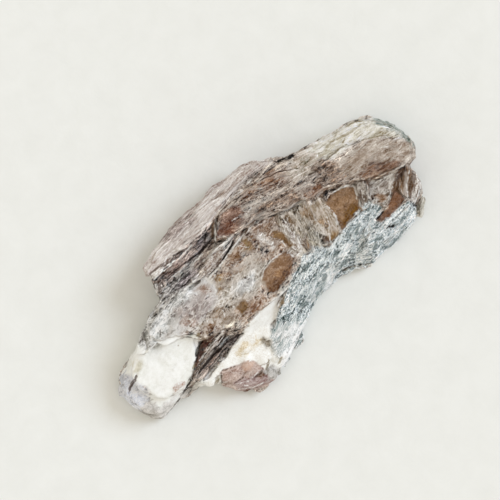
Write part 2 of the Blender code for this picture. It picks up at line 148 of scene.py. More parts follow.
UPPER_RIM = xy("""-3.9,12 0.1,10.4 7,8.9 12,7.2 17.1,5.9 18.4,4.1 22.7,4.1 26.1,2.3 30.1,0.4 34.1,-1.9
    40,-3.7 43.2,-3.6 45.4,-1.5 45.2,0.8 43.8,4.4 41,8 37.6,10.2 31.4,11.6 25.6,13.4 18.8,15.4 10,17
    0.8,16.4""")
UPPER_SHEETS = [
    (xy("""-3.4,12.1 0.4,10.6 7,9.1 12,7.4 17.2,6.1 18.6,4.3 22.8,4.3 26.2,2.4 30.2,0.6 34.2,-1.7 40,-3.4
        42.6,-3.2 44.4,-1.4 44.2,0.6 41.6,3.8 37.4,6.4 33,7.8 28,9.4 22.6,11.8 17.6,14 10,16
        1.4,15.8"""), 0.0),
    (xy("-3,12.2 0.6,10.8 7,9.4 12,7.8 17.4,6.6 21,8 19.6,11 16.4,13.4 9.6,15.4 1.8,15.3"), 0.5),
    (xy("23.6,7.2 27,3.2 31,1.2 34.6,-0.9 39.6,-2.4 42.4,-1 38.6,2.6 32,6.2 27.4,8.2"), 0.35),
]
UPPER_SHEET_THICKNESS = 1.2
PINK_BLADE = xy("""-21.2,16.6 -19.5,15.4 -13,15.8 -5,15.1 -0.8,15.8 6,16.9 12,17 18.6,16 18.4,17.4 14.8,19.9
    11,20.8 4,21.6 -4,21.2 -11,20.6 -15.5,19.8 -20.2,18.2""")
PINK_THICKNESS = 3.4
PINK_SHEET = xy("-18,18 -8,17.7 2,18 10,18.3 15.4,18.4 13.4,19.8 4,21 -4,20.6 -11,20 -15.4,19.2")
PINK_SHEET_STEP = 0.45
CHALK_FACET = xy("""-40.2,-1.6 -39,-5.4 -36.6,-8 -32.5,-8.9 -28.6,-7.9 -25.2,-5.4 -22.4,-2.8 -21.8,-1.2
    -24.5,0.6 -28,2.4 -31,4 -32.6,5.6 -36,4.8 -38.8,2.2""")
CREAM_FOOT = xy("""-29.6,-10.4 -28,-12.3 -24,-13 -19,-13.6 -15.4,-17.6 -13,-20.6 -8,-19.4 -4,-17 -1,-12
    1.5,-8.2 -5,-6.8 -13,-7.4 -20,-9.2""")
CREAM_RIM = xy("""-27.6,-10.2 -26.4,-11.2 -23,-11.4 -18.6,-12.2 -14.6,-15.6 -12,-17.8 -8.6,-16.6 -5,-14.2
    -2,-11 0.5,-8.2 -5,-7.2 -13,-8 -20,-9.8""")
FLANK_FOOT = xy("""-12.6,-19.8 -11.6,-21.2 -6,-18.9 1,-15.8 8,-13.7 13.5,-13.1 17,-14.2 20.5,-15.6 28,-14.4
    30,-8.6 28.8,-5.4 20,-5.9 14.5,-6.4 10,-4.4 5,-5.9 0,-7.6 -5,-10.4 -10,-14.4""")
FLANK_RIM = xy("""-11.6,-18.2 -9.4,-18 -4.4,-14.6 1,-11 7,-9 12.5,-8.8 16.5,-10.4 20.5,-11.4 27.5,-9.8
    29.2,-7.8 28.8,-5.4 20,-5.9 14.5,-6.2 10,-4.4 5,-5.9 0,-7.6 -5,-10.4 -10,-14.6""")
THICK_END_FOOT = xy("""17.5,-13.4 20,-16.2 28,-16.2 33.8,-15.6 36,-14.2 36.5,-12.3 39.6,-11.6 40.9,-9.8
    41.1,-7 41,-3 34,-0.6 30,1.4 28,-1 28.4,-6.2 21.5,-9""")
THICK_END_RIM = xy("""21.5,-11.8 24,-12.3 28.6,-12.2 32.6,-11.6 34.8,-11.3 35.9,-10.9 38.6,-10.3 40.2,-9
    40.8,-7 40.8,-3.2 34,-0.8 30.2,1 28.4,-1 29,-6.6 23,-9.6""")
GREY_PLATE = xy("29.4,-1.4 29.4,-6 31,-8 33.2,-7.6 38.4,-4.4 40.4,-3.4 34,-0.8 31,0.4")
GREY_PLATE_STEP = 1.1
KNOB_LEDGE = xy("""-25,-14.4 -23.4,-17.2 -20.6,-19.6 -17.4,-21.2 -14.4,-21.9 -13.4,-19.4 -15,-16.4 -19,-12.8
    -23,-11.8 -24.8,-12.8""")
KNOB_LOBES = [
    xy("-24.6,-14 -22.6,-15.8 -20,-16.2 -18.6,-15 -18.8,-12.8 -20.8,-12 -23.2,-11.8"),
    xy("-19.6,-15.6 -19,-17.2 -16.6,-18 -15.2,-16.8 -15.6,-14.2 -17.4,-13.4 -19.2,-14.2"),
]
KNOB_ROUNDING = 0.8
HOLLOW_SHEETS = [
    (xy("-20.8,15.2 -19.8,13.9 -12,13.5 -5,14 -2.6,15.2 -12,16.2"), 12.0, 0.35),
    (xy("-20.2,13 -15,12.5 -7,12.9 -4.6,13.7 -12,14.3 -18,14.3"), 10.9, 0.2),
    (xy("-22.4,9.8 -15,8.8 -7,9.7 -2,10.9 -6,12 -15,12 -20,11.4"), 11.2, -0.4),
    (xy("-14.2,8.5 -10.8,7.3 -4.6,8.3 4.4,9.9 0.6,10.7 -5,10.7 -10,9.7"), 13.4, 0.1),
]
SHOULDER = xy("-35.2,4.9 -33.6,3 -30,3.2 -26,6.4 -19,7.6 -18.4,9.6 -21.8,9.9 -26,8.9 -29,7.7")
SHOULDER_TOP = surface(10.6, x=-28.0, y=7.4, rise_x=0.10, rise_y=-0.42)
FOLD_STEP = xy("-21,-4.1 -17,-5.4 -13,-7.8 -8,-7.6 -10,-5 -17,-3")
FOLD_STEP_TOP = surface(11.0, x=-14.0, y=-6.0, rise_x=0.08, rise_y=0.30)
FOLD_RIDGES = [
    (xy("-29.4,-8.9 -24.4,-7.6 -19.5,-6.2 -15.8,-5.4 -15.5,-4.5 -19,-4.6 -24.4,-6.6"), 9.7, 0.0),
    (xy("-28.6,-9.8 -21,-9.2 -14,-8 -13.2,-6.6 -17.5,-6.8 -23,-8"), 8.9, 0.0),
]
# Floors that keep the clefts between sheets shallow: outline, height in the middle, rise along y.
CLEFT_FLOORS = [
    (xy("-28.4,-7.4 -24.6,-5.4 -22.2,-3.6 -18.5,-3.4 -18,-4.9 -24.2,-7 -29,-8.7"), 9.0, 0.0),
    (xy("-26.4,-8.6 -24.2,-7.4 -19.4,-6.1 -15.6,-5.3 -13.2,-6.4 -14,-7.6 -17.4,-7.1 -22.8,-8.2"), 8.4, 0.0),
    (xy("-6.5,12.6 -3.6,12.2 -0.6,15.4 -0.4,16.4 -2.8,16.2 -4.2,14.4"), 12.4, 0.0),
    (xy("-18,13 -18,11.6 -5,11.6 -4.4,13.2"), 10.4, 0.0),
    (xy("-24,8 -12,7.4 -9.5,7.6 -9,9.4 -15,9.6 -24,9.6"), 11.3, -0.2),
]
SIDE_FLAKES = [
    (xy("35.8,-15.3 37.6,-14.9 39.4,-13.4 39.7,-12.4 38,-12.6 35.4,-13.6"), 1.6, 3.6),
    (xy("12.5,-13 14.5,-13.8 17,-14.6 19.4,-16.4 20.8,-15.4 17.5,-12.6"), 0.9, 2.6),
    (xy("-21.8,10.9 -18.8,10.8 -18.2,13.4 -20.4,14.4 -21.2,13"), 6.4, 11.4),
]
CREAM_LUMPS = [
    ((-26.4, -11.2, 6.6), 1.6), ((-21.5, -10.6, 7.4), 1.6), ((-15.4, -10.8, 7.6), 1.8),
    ((-13.6, -15.4, 5.2), 2.0), ((-9.6, -17.4, 4.2), 1.9), ((-8.8, -11.6, 7.2), 2.1),
    ((-16.8, -13.0, 6.6), 1.5), ((-3.6, -9.4, 8.6), 1.6),
]
LUMP_FLATNESS = 0.55
LUMP_SUBDIVISIONS = 3

# ---------------------------------------------------------------- random fields
LATTICE = 64
TABLE = np.random.default_rng(2).uniform(-1.0, 1.0, LATTICE ** 3)


def noise(points, seed):
    """Smooth noise from -1 to 1 at points in lattice cells, an array of three columns."""
    cell = np.floor(points).astype(int)
    part = points - cell
    part = part * part * (3.0 - 2.0 * part)
    cell += np.array((seed * 7, seed * 13, seed * 29))
    total = np.zeros(len(points))
    for corner in product((0, 1), repeat=3):
        weight = np.ones(len(points))
        index = np.zeros(len(points), dtype=int)
        for axis in range(3):
            weight *= part[:, axis] if corner[axis] else 1.0 - part[:, axis]
            index = index * LATTICE + (cell[:, axis] + corner[axis]) % LATTICE
        total += weight * TABLE[index]
    return total


def rough_noise(points, seed, octaves=3):
    """Noise with finer and fainter noise on it, about -1 to 1."""
    total = np.zeros(len(points))
    for octave in range(octaves):
        total += noise(points * 2.03 ** octave + 11.3 * octave, seed + octave) * 0.55 ** octave
    return total / 1.3


def smooth_step(value, low, high):
    part = np.clip((value - low) / (high - low), 0.0, 1.0)
    return part * part * (3.0 - 2.0 * part)


# ---------------------------------------------------------------- plane geometry
def inset(outline, distance):
    """The outline moved inwards by a distance, at right angles to its run at each corner."""
    corners = np.array(outline)
    run = np.roll(corners, -1, axis=0) - np.roll(corners, 1, axis=0)
    run /= np.hypot(run[:, 0], run[:, 1])[:, None]
    return corners + distance * np.column_stack((-run[:, 1], run[:, 0]))


FAR = 3.0


def distance_to_line(places, line, closed=False):
    """The distance from each place to a line through points, measured up to FAR and no further."""
    starts = np.array(line)
    ends = np.roll(starts, -1, axis=0)
    if not closed:
        starts, ends = starts[:-1], ends[:-1]
    nearest = np.full(len(places), FAR ** 2)
    for start, end in zip(starts, ends):
        low, high = np.minimum(start, end) - FAR, np.maximum(start, end) + FAR
        near = np.flatnonzero(((places > low) & (places < high)).all(axis=1))
        run = end - start
        part = np.clip((places[near] - start) @ run / (run @ run), 0.0, 1.0)
        offset = places[near] - start - part[:, None] * run
        nearest[near] = np.minimum(nearest[near], offset[:, 0] ** 2 + offset[:, 1] ** 2)
    return np.sqrt(nearest)


def depth_inside(places, outline):
    """How far each place is inside an outline, negative outside, up to FAR either way."""
    corners = np.array(outline)
    near = np.flatnonzero(((places > corners.min(0) - FAR) & (places < corners.max(0) + FAR)).all(axis=1))
    around = places[near]
    inside = np.zeros(len(near), dtype=bool)
    for (x1, y1), (x2, y2) in zip(corners, np.roll(corners, -1, axis=0)):
        spans = (y1 > around[:, 1]) != (y2 > around[:, 1])
        crossing = x1 + (around[:, 1] - y1) * (x2 - x1) / (y2 - y1 if y2 != y1 else 1.0)
        inside ^= spans & (around[:, 0] < crossing)
    distance = distance_to_line(around, outline, closed=True)
    depth = np.full(len(places), -FAR)
    depth[near] = np.where(inside, distance, -distance)
    return depth


def depth_inside_any(places, outlines):
    return np.max([depth_inside(places, outline) for outline in outlines], axis=0)


# ---------------------------------------------------------------- the layered mass
class Solids:
    """Corners and faces of many closed shapes, gathered for one mesh."""

    def __init__(self):
        self.corners = []
        self.faces = []

    def add(self, corners, faces):
        first = sum(len(block) for block in self.corners)
        self.corners.append(np.asarray(corners, dtype=float))
        self.faces += [[first + index for index in face] for face in faces]

    def mesh(self, name):
        mesh = bpy.data.meshes.new(name)
        mesh.from_pydata(np.concatenate(self.corners).tolist(), [], self.faces)
        return mesh


# How quickly a sheet's edge wanders along X and Y, broadly and finely, and how far seeds lie apart.
WANDER = (0.22, 0.45, 1.0)
WANDER_FINE = (0.9, 1.2, 1.0)
SEED_SPACING = 3.7
# How far the rims of plates, blades and the chalky facet stand inside their feet, in millimetres.
PLATE_TAPER = 0.2
BLADE_TAPER = 0.3
CHALK_TAPER = 0.5


def sheet_edge(foot, rim, share, ragged, seed):
    """The closed line of one sheet's edge, this share of the way from the foot to the rim outline."""
    foot, rim = np.array(foot), np.array(rim)
    run = np.roll(foot, -1, axis=0) - foot
    rim_run = np.roll(rim, -1, axis=0) - rim
    length = np.hypot(run[:, 0], run[:, 1])
    points, outwards = [], []
    for i, steps in enumerate(np.maximum(1, np.round(length / EDGE_SPACING)).astype(int)):
        part = (np.arange(steps) / steps)[:, None]
        low, high = foot[i] + run[i] * part, rim[i] + rim_run[i] * part
        points.append(low + (high - low) * share)
        outwards.append(np.tile((run[i, 1] / length[i], -run[i, 0] / length[i]), (steps, 1)))
    points, outwards = np.concatenate(points), np.concatenate(outwards)
    place = np.column_stack((points, np.full(len(points), seed * SEED_SPACING)))
    wander = 2.0 * ragged * noise(place * WANDER, 1)
    wander += RAGGED_FINE * rough_noise(place * WANDER_FINE, 5)
    shift = SHEET_SHIFT * np.random.default_rng(seed).uniform(-1.0, 1.0)
    return points + outwards * (wander + shift)[:, None]


def add_blade(solids, foot, rim, bottom, top, seed, ragged=RAGGED):
    """A blade as a stack of thin sheets, each reaching a little into the one below it."""
    middle = foot[len(foot) // 2]
    thickness = height(top, *middle) - height(bottom, *middle)
    sheets = max(1, round(thickness / SHEET))
    low_to_high = np.array(top) - np.array(bottom)
    for sheet in range(sheets):
        low = np.array(bottom) + low_to_high * sheet / sheets
        high = np.array(bottom) + low_to_high * (sheet + 1) / sheets
        line = sheet_edge(foot, rim, (sheet + 0.5) / sheets, ragged, 100 * seed + sheet)
        count = len(line)
        overlap = OVERLAP if sheet else 0.0
        corners = np.concatenate((
            np.column_stack((line, height(low, line[:, 0], line[:, 1]) - overlap)),
            np.column_stack((line, height(high, line[:, 0], line[:, 1]))),
        ))
        sides = [(i, (i + 1) % count, (i + 1) % count + count, i + count) for i in range(count)]
        solids.add(corners, sides + [list(range(count, 2 * count)), list(range(count))[::-1]])


def add_lump(solids, centre, radius):
    """A flattened ball."""
    ball = bmesh.new()
    bmesh.ops.create_icosphere(ball, subdivisions=LUMP_SUBDIVISIONS, radius=radius)
    corners = [corner.co * Vector((1.0, 1.0, LUMP_FLATNESS)) + Vector(centre) for corner in ball.verts]
    solids.add([tuple(corner) for corner in corners], [[c.index for c in face.verts] for face in ball.faces])
    ball.free()


def add_standing_sheets(solids, sheets, seed):
    for number, (outline, middle_height, rise_y) in enumerate(sheets):
        middle_y = sum(y for _, y in outline) / len(outline)
        top = surface(middle_height, y=middle_y, rise_y=rise_y)
        low = raised(BODY_TOP, -BURIED)
        add_blade(solids, outline, inset(outline, PLATE_TAPER), low, top, seed + number)


def stacked_blades():
    """Every blade of the part, each as a stack of thin sheets."""
    solids = Solids()
    skirt_top = surface(SKIRT_HEIGHT)
    sunk_body = raised(BODY_TOP, -BURIED)
    contact = inset(SILHOUETTE, SKIRT_UNDERCUT)
    add_blade(solids, contact, SILHOUETTE, surface(-CUT_DEPTH), skirt_top, 1, SKIRT_RAGGED)
    add_blade(solids, BODY, inset(BODY, BODY_TAPER), raised(skirt_top, -BURIED), BODY_TOP, 2)
    add_blade(solids, CHALK_FACET, inset(CHALK_FACET, CHALK_TAPER), sunk_body, CHALK_TOP, 3)
    add_standing_sheets(solids, FOLD_RIDGES, 4)
    add_standing_sheets(solids, CLEFT_FLOORS, 51)
    add_blade(solids, SHOULDER, inset(SHOULDER, BLADE_TAPER), sunk_body, SHOULDER_TOP, 41)
    add_blade(solids, FOLD_STEP, inset(FOLD_STEP, BLADE_TAPER), sunk_body, FOLD_STEP_TOP, 42)
    add_blade(solids, KNOB_LEDGE, inset(KNOB_LEDGE, KNOB_ROUNDING), skirt_top, KNOB_LEDGE_TOP, 6)
    for number, lobe in enumerate(KNOB_LOBES):
        add_blade(solids, lobe, inset(lobe, KNOB_ROUNDING), skirt_top, KNOB_TOP, 7 + number)
    add_blade(solids, CENTRE, inset(CENTRE, BLADE_TAPER), sunk_body, CENTRE_TOP, 9)
    for number, (plate, step) in enumerate(CENTRE_PLATES):
        low, high = raised(CENTRE_TOP, -BURIED), raised(CENTRE_TOP, step)
        add_blade(solids, plate, inset(plate, PLATE_TAPER), low, high, 10 + number)
    add_blade(solids, CREAM_FOOT, CREAM_RIM, skirt_top, CREAM_TOP, 20)
    for centre, radius in CREAM_LUMPS:
        add_lump(solids, centre, radius)
    add_blade(solids, FLANK_FOOT, FLANK_RIM, skirt_top, FLANK_TOP, 21)
    add_blade(solids, THICK_END_FOOT, THICK_END_RIM, skirt_top, THICK_END_TOP, 22)
    plate_top = raised(THICK_END_TOP, GREY_PLATE_STEP)
    sunk_plate = raised(THICK_END_TOP, -BURIED)
    add_blade(solids, GREY_PLATE, inset(GREY_PLATE, PLATE_TAPER), sunk_plate, plate_top, 23)
    pink_bottom = raised(PINK_TOP, -PINK_THICKNESS)
    add_blade(solids, PINK_BLADE, inset(PINK_BLADE, BLADE_TAPER), pink_bottom, PINK_TOP, 24)
    sheet_top = raised(PINK_TOP, PINK_SHEET_STEP)
    sunk_sheet = raised(PINK_TOP, -BURIED)
    add_blade(solids, PINK_SHEET, inset(PINK_SHEET, PLATE_TAPER), sunk_sheet, sheet_top, 25)
    add_standing_sheets(solids, HOLLOW_SHEETS, 26)
    base_top = raised(UPPER_TOP, -UPPER_SHEET_THICKNESS)
    add_blade(solids, UPPER_FOOT, UPPER_RIM, sunk_body, base_top, 31)
    for number, (sheet, step) in enumerate(UPPER_SHEETS):
        top = raised(UPPER_TOP, step)
        add_blade(solids, sheet, inset(sheet, PLATE_TAPER), raised(base_top, -BURIED), top, 32 + number)
    for outline, bottom, top in SIDE_FLAKES:
        add_blade(solids, outline, inset(outline, PLATE_TAPER), surface(bottom), surface(top), 36)
    return solids.mesh("stacked_blades")


def with_modifiers(mesh, *settings):
    """The mesh as it comes out of modifiers, each given as its kind and its settings."""
    holder = bpy.data.objects.new("holder", mesh)
    bpy.context.scene.collection.objects.link(holder)
    for kind, values in settings:
        modifier = holder.modifiers.new(kind, kind)
        for key, value in values.items():
            setattr(modifier, key, value)
    evaluated = holder.evaluated_get(bpy.context.evaluated_depsgraph_get())
    result = bpy.data.meshes.new_from_object(evaluated)
    bpy.data.objects.remove(holder)
    bpy.data.meshes.remove(mesh)
    return result


def corners_of(mesh):
    places = np.empty(len(mesh.vertices) * 3)
    mesh.vertices.foreach_get("co", places)
    return places.reshape(-1, 3)


def normals_of(mesh):
    normals = np.empty(len(mesh.vertices) * 3)
    mesh.vertices.foreach_get("normal", normals)
    return normals.reshape(-1, 3)


# ---------------------------------------------------------------- relief
# Directions of the blades' grain: outline, angle from +X in degrees. The first that holds a place counts.
KNOB = xy("-25.2,-14.4 -23.4,-18.2 -17.4,-21.6 -13.6,-22.2 -13.2,-19.4 -15.2,-14.2 -19,-12.6 -22.6,-11.2")
WINDOW_SIDE = xy("26.4,-5.2 28.8,-5.4 31.6,-1.3 30.2,1.2 28.5,0.4 27.6,-1.6")
RADIAL_PLATE = xy("""8.2,-0.8 9.4,-3.4 12,-4.4 15.2,-6.1 19.7,-5.7 21,-2.4 21.1,1.4 22,3.7 17,5.6 11,7.2
    9.3,5.6""")
THICK_CORNER = xy("35.6,-6 36,-10.6 41.6,-11.4 41.6,-3.9 38.4,-4.4")
GRAIN = [
    (KNOB, -28.0), (WINDOW_SIDE, 58.0), (RADIAL_PLATE, 72.0), (THICK_CORNER, 40.0), (THICK_END_FOOT, 8.0),
    (PINK_BLADE, 2.0), (UPPER_FOOT, -9.0), (FLANK_FOOT, 19.0), (CREAM_FOOT, 14.0), (CENTRE, 12.0),
    (CHALK_FACET, 8.0),
]
OTHER_GRAIN = 6.0
# How the sheets rise along X and fall along Y.
SHEETS_RISE = 0.04
SHEETS_FALL = 0.05


def grain_angles(flat):
    """The direction of the grain at each place, in degrees."""
    angle = np.full(len(flat), OTHER_GRAIN)
    free = np.ones(len(flat), dtype=bool)
    for outline, degrees in GRAIN:
        held = free & (depth_inside(flat, outline) > 0.0)
        angle[held] = degrees
        free &= ~held
    return angle


def grain_coordinates(places):
    """Along the grain, across it, and through the sheets, for each place."""
    flat = places[:, :2]
    turn = np.radians(grain_angles(flat))
    along = flat[:, 0] * np.cos(turn) + flat[:, 1] * np.sin(turn)
    across = flat[:, 1] * np.cos(turn) - flat[:, 0] * np.sin(turn)
    through = places[:, 2] - SHEETS_RISE * flat[:, 0] + SHEETS_FALL * flat[:, 1]
    return np.column_stack((along, across, through))


# Open cracks and seams: line, depth, half width.
CRACKS = [
    (xy("22.6,3.6 24,2.8 26,2.1"), 0.25, 0.2),
    (xy("-10.8,6.9 -8,7.2 -5,7.7"), 0.3, 0.2),
    (xy("-5,7.7 -2,8.6 0.6,9.6"), 0.9, 0.24),
    (xy("-18,12.9 -13,12.7 -10,12.6"), 0.4, 0.24),
    (xy("-10,12.6 -6,12.7 -3.4,13"), 0.5, 0.24),
    (xy("-27,-6.6 -25,-5.5 -22.5,-4.3 -19,-4"), 0.3, 0.3),
    (xy("-26,-7.9 -22,-7.5 -18,-7.2 -14,-7.8"), 0.2, 0.24),
    (xy("-20.4,-6.7 -17,-6 -14.4,-5.5"), 0.2, 0.2),
    (xy("27.2,-11.6 28.4,-12 29.8,-12.9"), 1.0, 0.24),
    (xy("26.4,-9.1 28,-9 30,-8.7"), 0.6, 0.2),
    (xy("20.6,-11.5 22.6,-10.9 25.6,-9.8"), 0.3, 0.24),
    (xy("-22.6,-15.7 -20.5,-16 -19.2,-15.5"), 0.35, 0.24),
    (xy("-18.8,-17.9 -16.8,-18.1 -15.4,-17.7"), 0.35, 0.24),
    (xy("-15,-18.5 -13.9,-17.8 -12.8,-17"), 0.5, 0.22),
    (xy("-42.6,-1.2 -40.8,-0.2 -39,0.3 -38,0.9"), 0.35, 0.24),
    (xy("-33.6,3.3 -32,4 -31.1,5.4 -30.4,6.8"), 0.3, 0.24),
    (xy("4,17.6 8,17.7 12,17.8"), 0.3, 0.2),
    (xy("19,16.2 21,15.6 23,15"), 0.3, 0.2),
    (xy("31,11.6 34,10.7 36.4,10.1 39.4,9.9"), 0.25, 0.2),
    (xy("9,8.2 10.4,7.4 13.6,6.9"), 0.3, 0.2),
    (xy("14,6 16,5.2"), 0.3, 0.2),
    (xy("-18.4,0.3 -17.4,0.8 -16,0.9"), 0.2, 0.18),
]
# Where crumbly matrix takes the place of cleavage sheets.
CRUMBLY = [CHALK_FACET, CREAM_FOOT]
# Where the blades' edges are worn round and their tops are smooth.
ROUNDED = [KNOB, xy("-46.5,-5 -45.5,3 -40,5.5 -38.5,2 -38,-6 -34,-9 -34,-11.6 -43,-11.4")]
ROUNDING_ROUNDS = 10
# Where one clean cleavage face lies open.
CLEAN_FACES = [
    xy("20.9,1.6 23.4,2.2 26,1.8 28.4,0.4 28,-1.3 26.7,-4.2 24,-4.9 19.8,-5.3 20.9,-2.5"),
    xy("-1.6,-2 0.2,-0.6 3,-0.1 5.8,-0.4 7.3,-1.7 7.2,-3 5.4,-4.4 2,-5.4 -0.8,-6 -2.6,-5.2"),
    xy("27,-9.1 30.2,-8.7 33.4,-7.4 34.8,-6.4 35.6,-10.1 30.4,-10.7"),
    xy("-2.2,12.4 0.6,10.2 3.4,10.4 4.8,12 5.2,14.6 1.2,15.6"),
]


# Low steps between sheets: length and width in millimetres, how many levels, seed; then each step's height.
SHEET_TERRACES = (7.0, 3.0, 3.0, 41)
UPPER_TERRACES = (13.0, 2.4, 3.5, 51)
PINK_TERRACES = (16.0, 1.6, 3.0, 61)
TERRACE_STEP = 0.20
PINK_STEP = 0.16
# The ragged part of the steps' borders, and how quickly it changes.
TERRACE_RAGGED = 0.22
TERRACE_FINE = (0.5, 1.6, 0.1)
RISER = (0.40, 0.60)
# Soft borders of the zones, in millimetres inside their outlines.
CRUMBLY_BORDER = (-0.6, 0.4)
ROUNDED_BORDER = (-0.6, 0.6)
CALM_BORDER = (-0.4, 0.4)
BLADE_BORDER = (-0.4, 0.2)


def terrace_levels(grain, length, width, levels, seed):
    """Ragged levels, long with the grain, that the steps are cut from."""
    broad = rough_noise(grain * (1.0 / length, 1.0 / width, 0.02), seed)
    return (broad + TERRACE_RAGGED * noise(grain * TERRACE_FINE, seed + 9)) * levels


def terraces(grain, kind, step):
    """Low ragged steps between sheets: heights around zero."""
    levels = terrace_levels(grain, *kind)
    low = np.floor(levels)
    return (low + smooth_step(levels - low, *RISER)) * step


def share_inside(flat, outlines, border):
    """1 inside the outlines and 0 outside, over a soft border."""
    return smooth_step(depth_inside_any(flat, outlines), *border)


def crack_depth(flat):
    """How deep the cracks are cut at each place, in millimetres."""
    cut = np.zeros(len(flat))
    for line, depth, half_width in CRACKS:
        here = np.exp(-(distance_to_line(flat, line) / half_width) ** 2)
        cut = np.maximum(cut, here * depth)
    return cut


def averaged(mesh, count):
    """A function that replaces each corner's value by the average of its neighbours' values."""
    ends = np.empty(len(mesh.edges) * 2, dtype=int)
    mesh.edges.foreach_get("vertices", ends)
    ends = ends.reshape(-1, 2)
    start, end = np.concatenate((ends, ends[:, ::-1])).T
    neighbours = np.bincount(start, minlength=count)

    def around(values):
        return np.bincount(start, weights=values[end], minlength=count) / neighbours

    return around


def round_off(mesh):
    """Wears down the edges in the rounded zones, and lightly in the crumbly ones."""
    places = corners_of(mesh)
    around = averaged(mesh, len(places))
    rounded = share_inside(places[:, :2], ROUNDED, ROUNDED_BORDER)
    crumbly = share_inside(places[:, :2], CRUMBLY, CRUMBLY_BORDER)
    for step in range(ROUNDING_ROUNDS):
        share = np.maximum(rounded, crumbly if step < ROUNDING_ROUNDS // 2 else 0.0)
        for axis in range(3):
            places[:, axis] += share * (around(places[:, axis]) - places[:, axis])
    mesh.vertices.foreach_set("co", places.ravel())
    mesh.update()


# A normal's upward share from which a place counts as a top, and the heights over which the relief begins.
FLAT_ENOUGH = (0.55, 0.85)
FOOT_HEIGHTS = (0.2, 1.0)


def add_relief(mesh):
    """Moves the joined mesh's corners: steps on the tops, torn edges on the sides, crumbs and cracks."""
    round_off(mesh)
    places, normals = corners_of(mesh), normals_of(mesh)
    flat = places[:, :2]
    grain = grain_coordinates(places)
    up = smooth_step(normals[:, 2], *FLAT_ENOUGH)
    low = smooth_step(places[:, 2], *FOOT_HEIGHTS)
    crumbly = share_inside(flat, CRUMBLY, CRUMBLY_BORDER)
    on_upper = share_inside(flat, [UPPER_FOOT], BLADE_BORDER)
    on_pink = share_inside(flat, [PINK_BLADE], BLADE_BORDER)
    calm = 1.0 - 0.8 * share_inside(flat, ROUNDED + CLEAN_FACES, CALM_BORDER)
    sheeted = (1.0 - crumbly) * (1.0 - on_upper) * (1.0 - on_pink) * calm
    top = sheeted * terraces(grain, SHEET_TERRACES, TERRACE_STEP)
    top += on_upper * (1.0 - on_pink) * terraces(grain, UPPER_TERRACES, TERRACE_STEP)
    top += on_pink * terraces(grain, PINK_TERRACES, PINK_STEP)
    top += crumbly * (0.20 * rough_noise(places * 0.4, 71) + 0.05 * rough_noise(places * 1.5, 75))
    top -= crack_depth(flat)
    torn = rough_noise(grain * (0.25, 0.6, 2.6), 81)
    fibres = rough_noise(grain * (0.16, 1.7, 1.7), 85)
    side = (1.0 - crumbly) * calm * (0.20 * torn + 0.14 * fibres)
    side += crumbly * 0.16 * rough_noise(places * 0.8, 91)
    fine = 0.05 * rough_noise(grain * (0.7, 2.2, 2.2), 95)
    places[:, 2] += up * top * low
    places += normals * ((1.0 - up) * side * low + fine * low)[:, None]
    mesh.vertices.foreach_set("co", places.ravel())
    mesh.update()


CUT_TOLERANCE = 1e-4
SNAPPED = 0.005


def cut_flat(mesh):
    """Removes what lies below the contact plane, closes the cut, and splits the faces into triangles."""
    solid = bmesh.new()
    solid.from_mesh(mesh)
    everything = solid.verts[:] + solid.edges[:] + solid.faces[:]
    cut = bmesh.ops.bisect_plane(
        solid, geom=everything, plane_co=(0.0, 0.0, 0.0), plane_no=(0.0, 0.0, 1.0), clear_inner=True,
        dist=CUT_TOLERANCE,
    )
    for corner in solid.verts:
        if abs(corner.co.z) < SNAPPED:
            corner.co.z = 0.0
    border = [edge for edge in cut["geom_cut"] if isinstance(edge, bmesh.types.BMEdge)]
    bmesh.ops.triangle_fill(solid, edges=border, use_beauty=True, normal=(0.0, 0.0, -1.0))
    bmesh.ops.triangulate(solid, faces=[face for face in solid.faces if len(face.verts) > 3])
    solid.to_mesh(mesh)
    solid.free()


def layered_mass():
    joined = with_modifiers(stacked_blades(), ("REMESH", {"mode": "VOXEL", "voxel_size": VOXEL}))
    add_relief(joined)
    triangles = 2 * len(joined.polygons)
    mesh = with_modifiers(joined, ("DECIMATE", {"ratio": min(1.0, TRIANGLES / triangles)}))
    cut_flat(mesh)
    return mesh


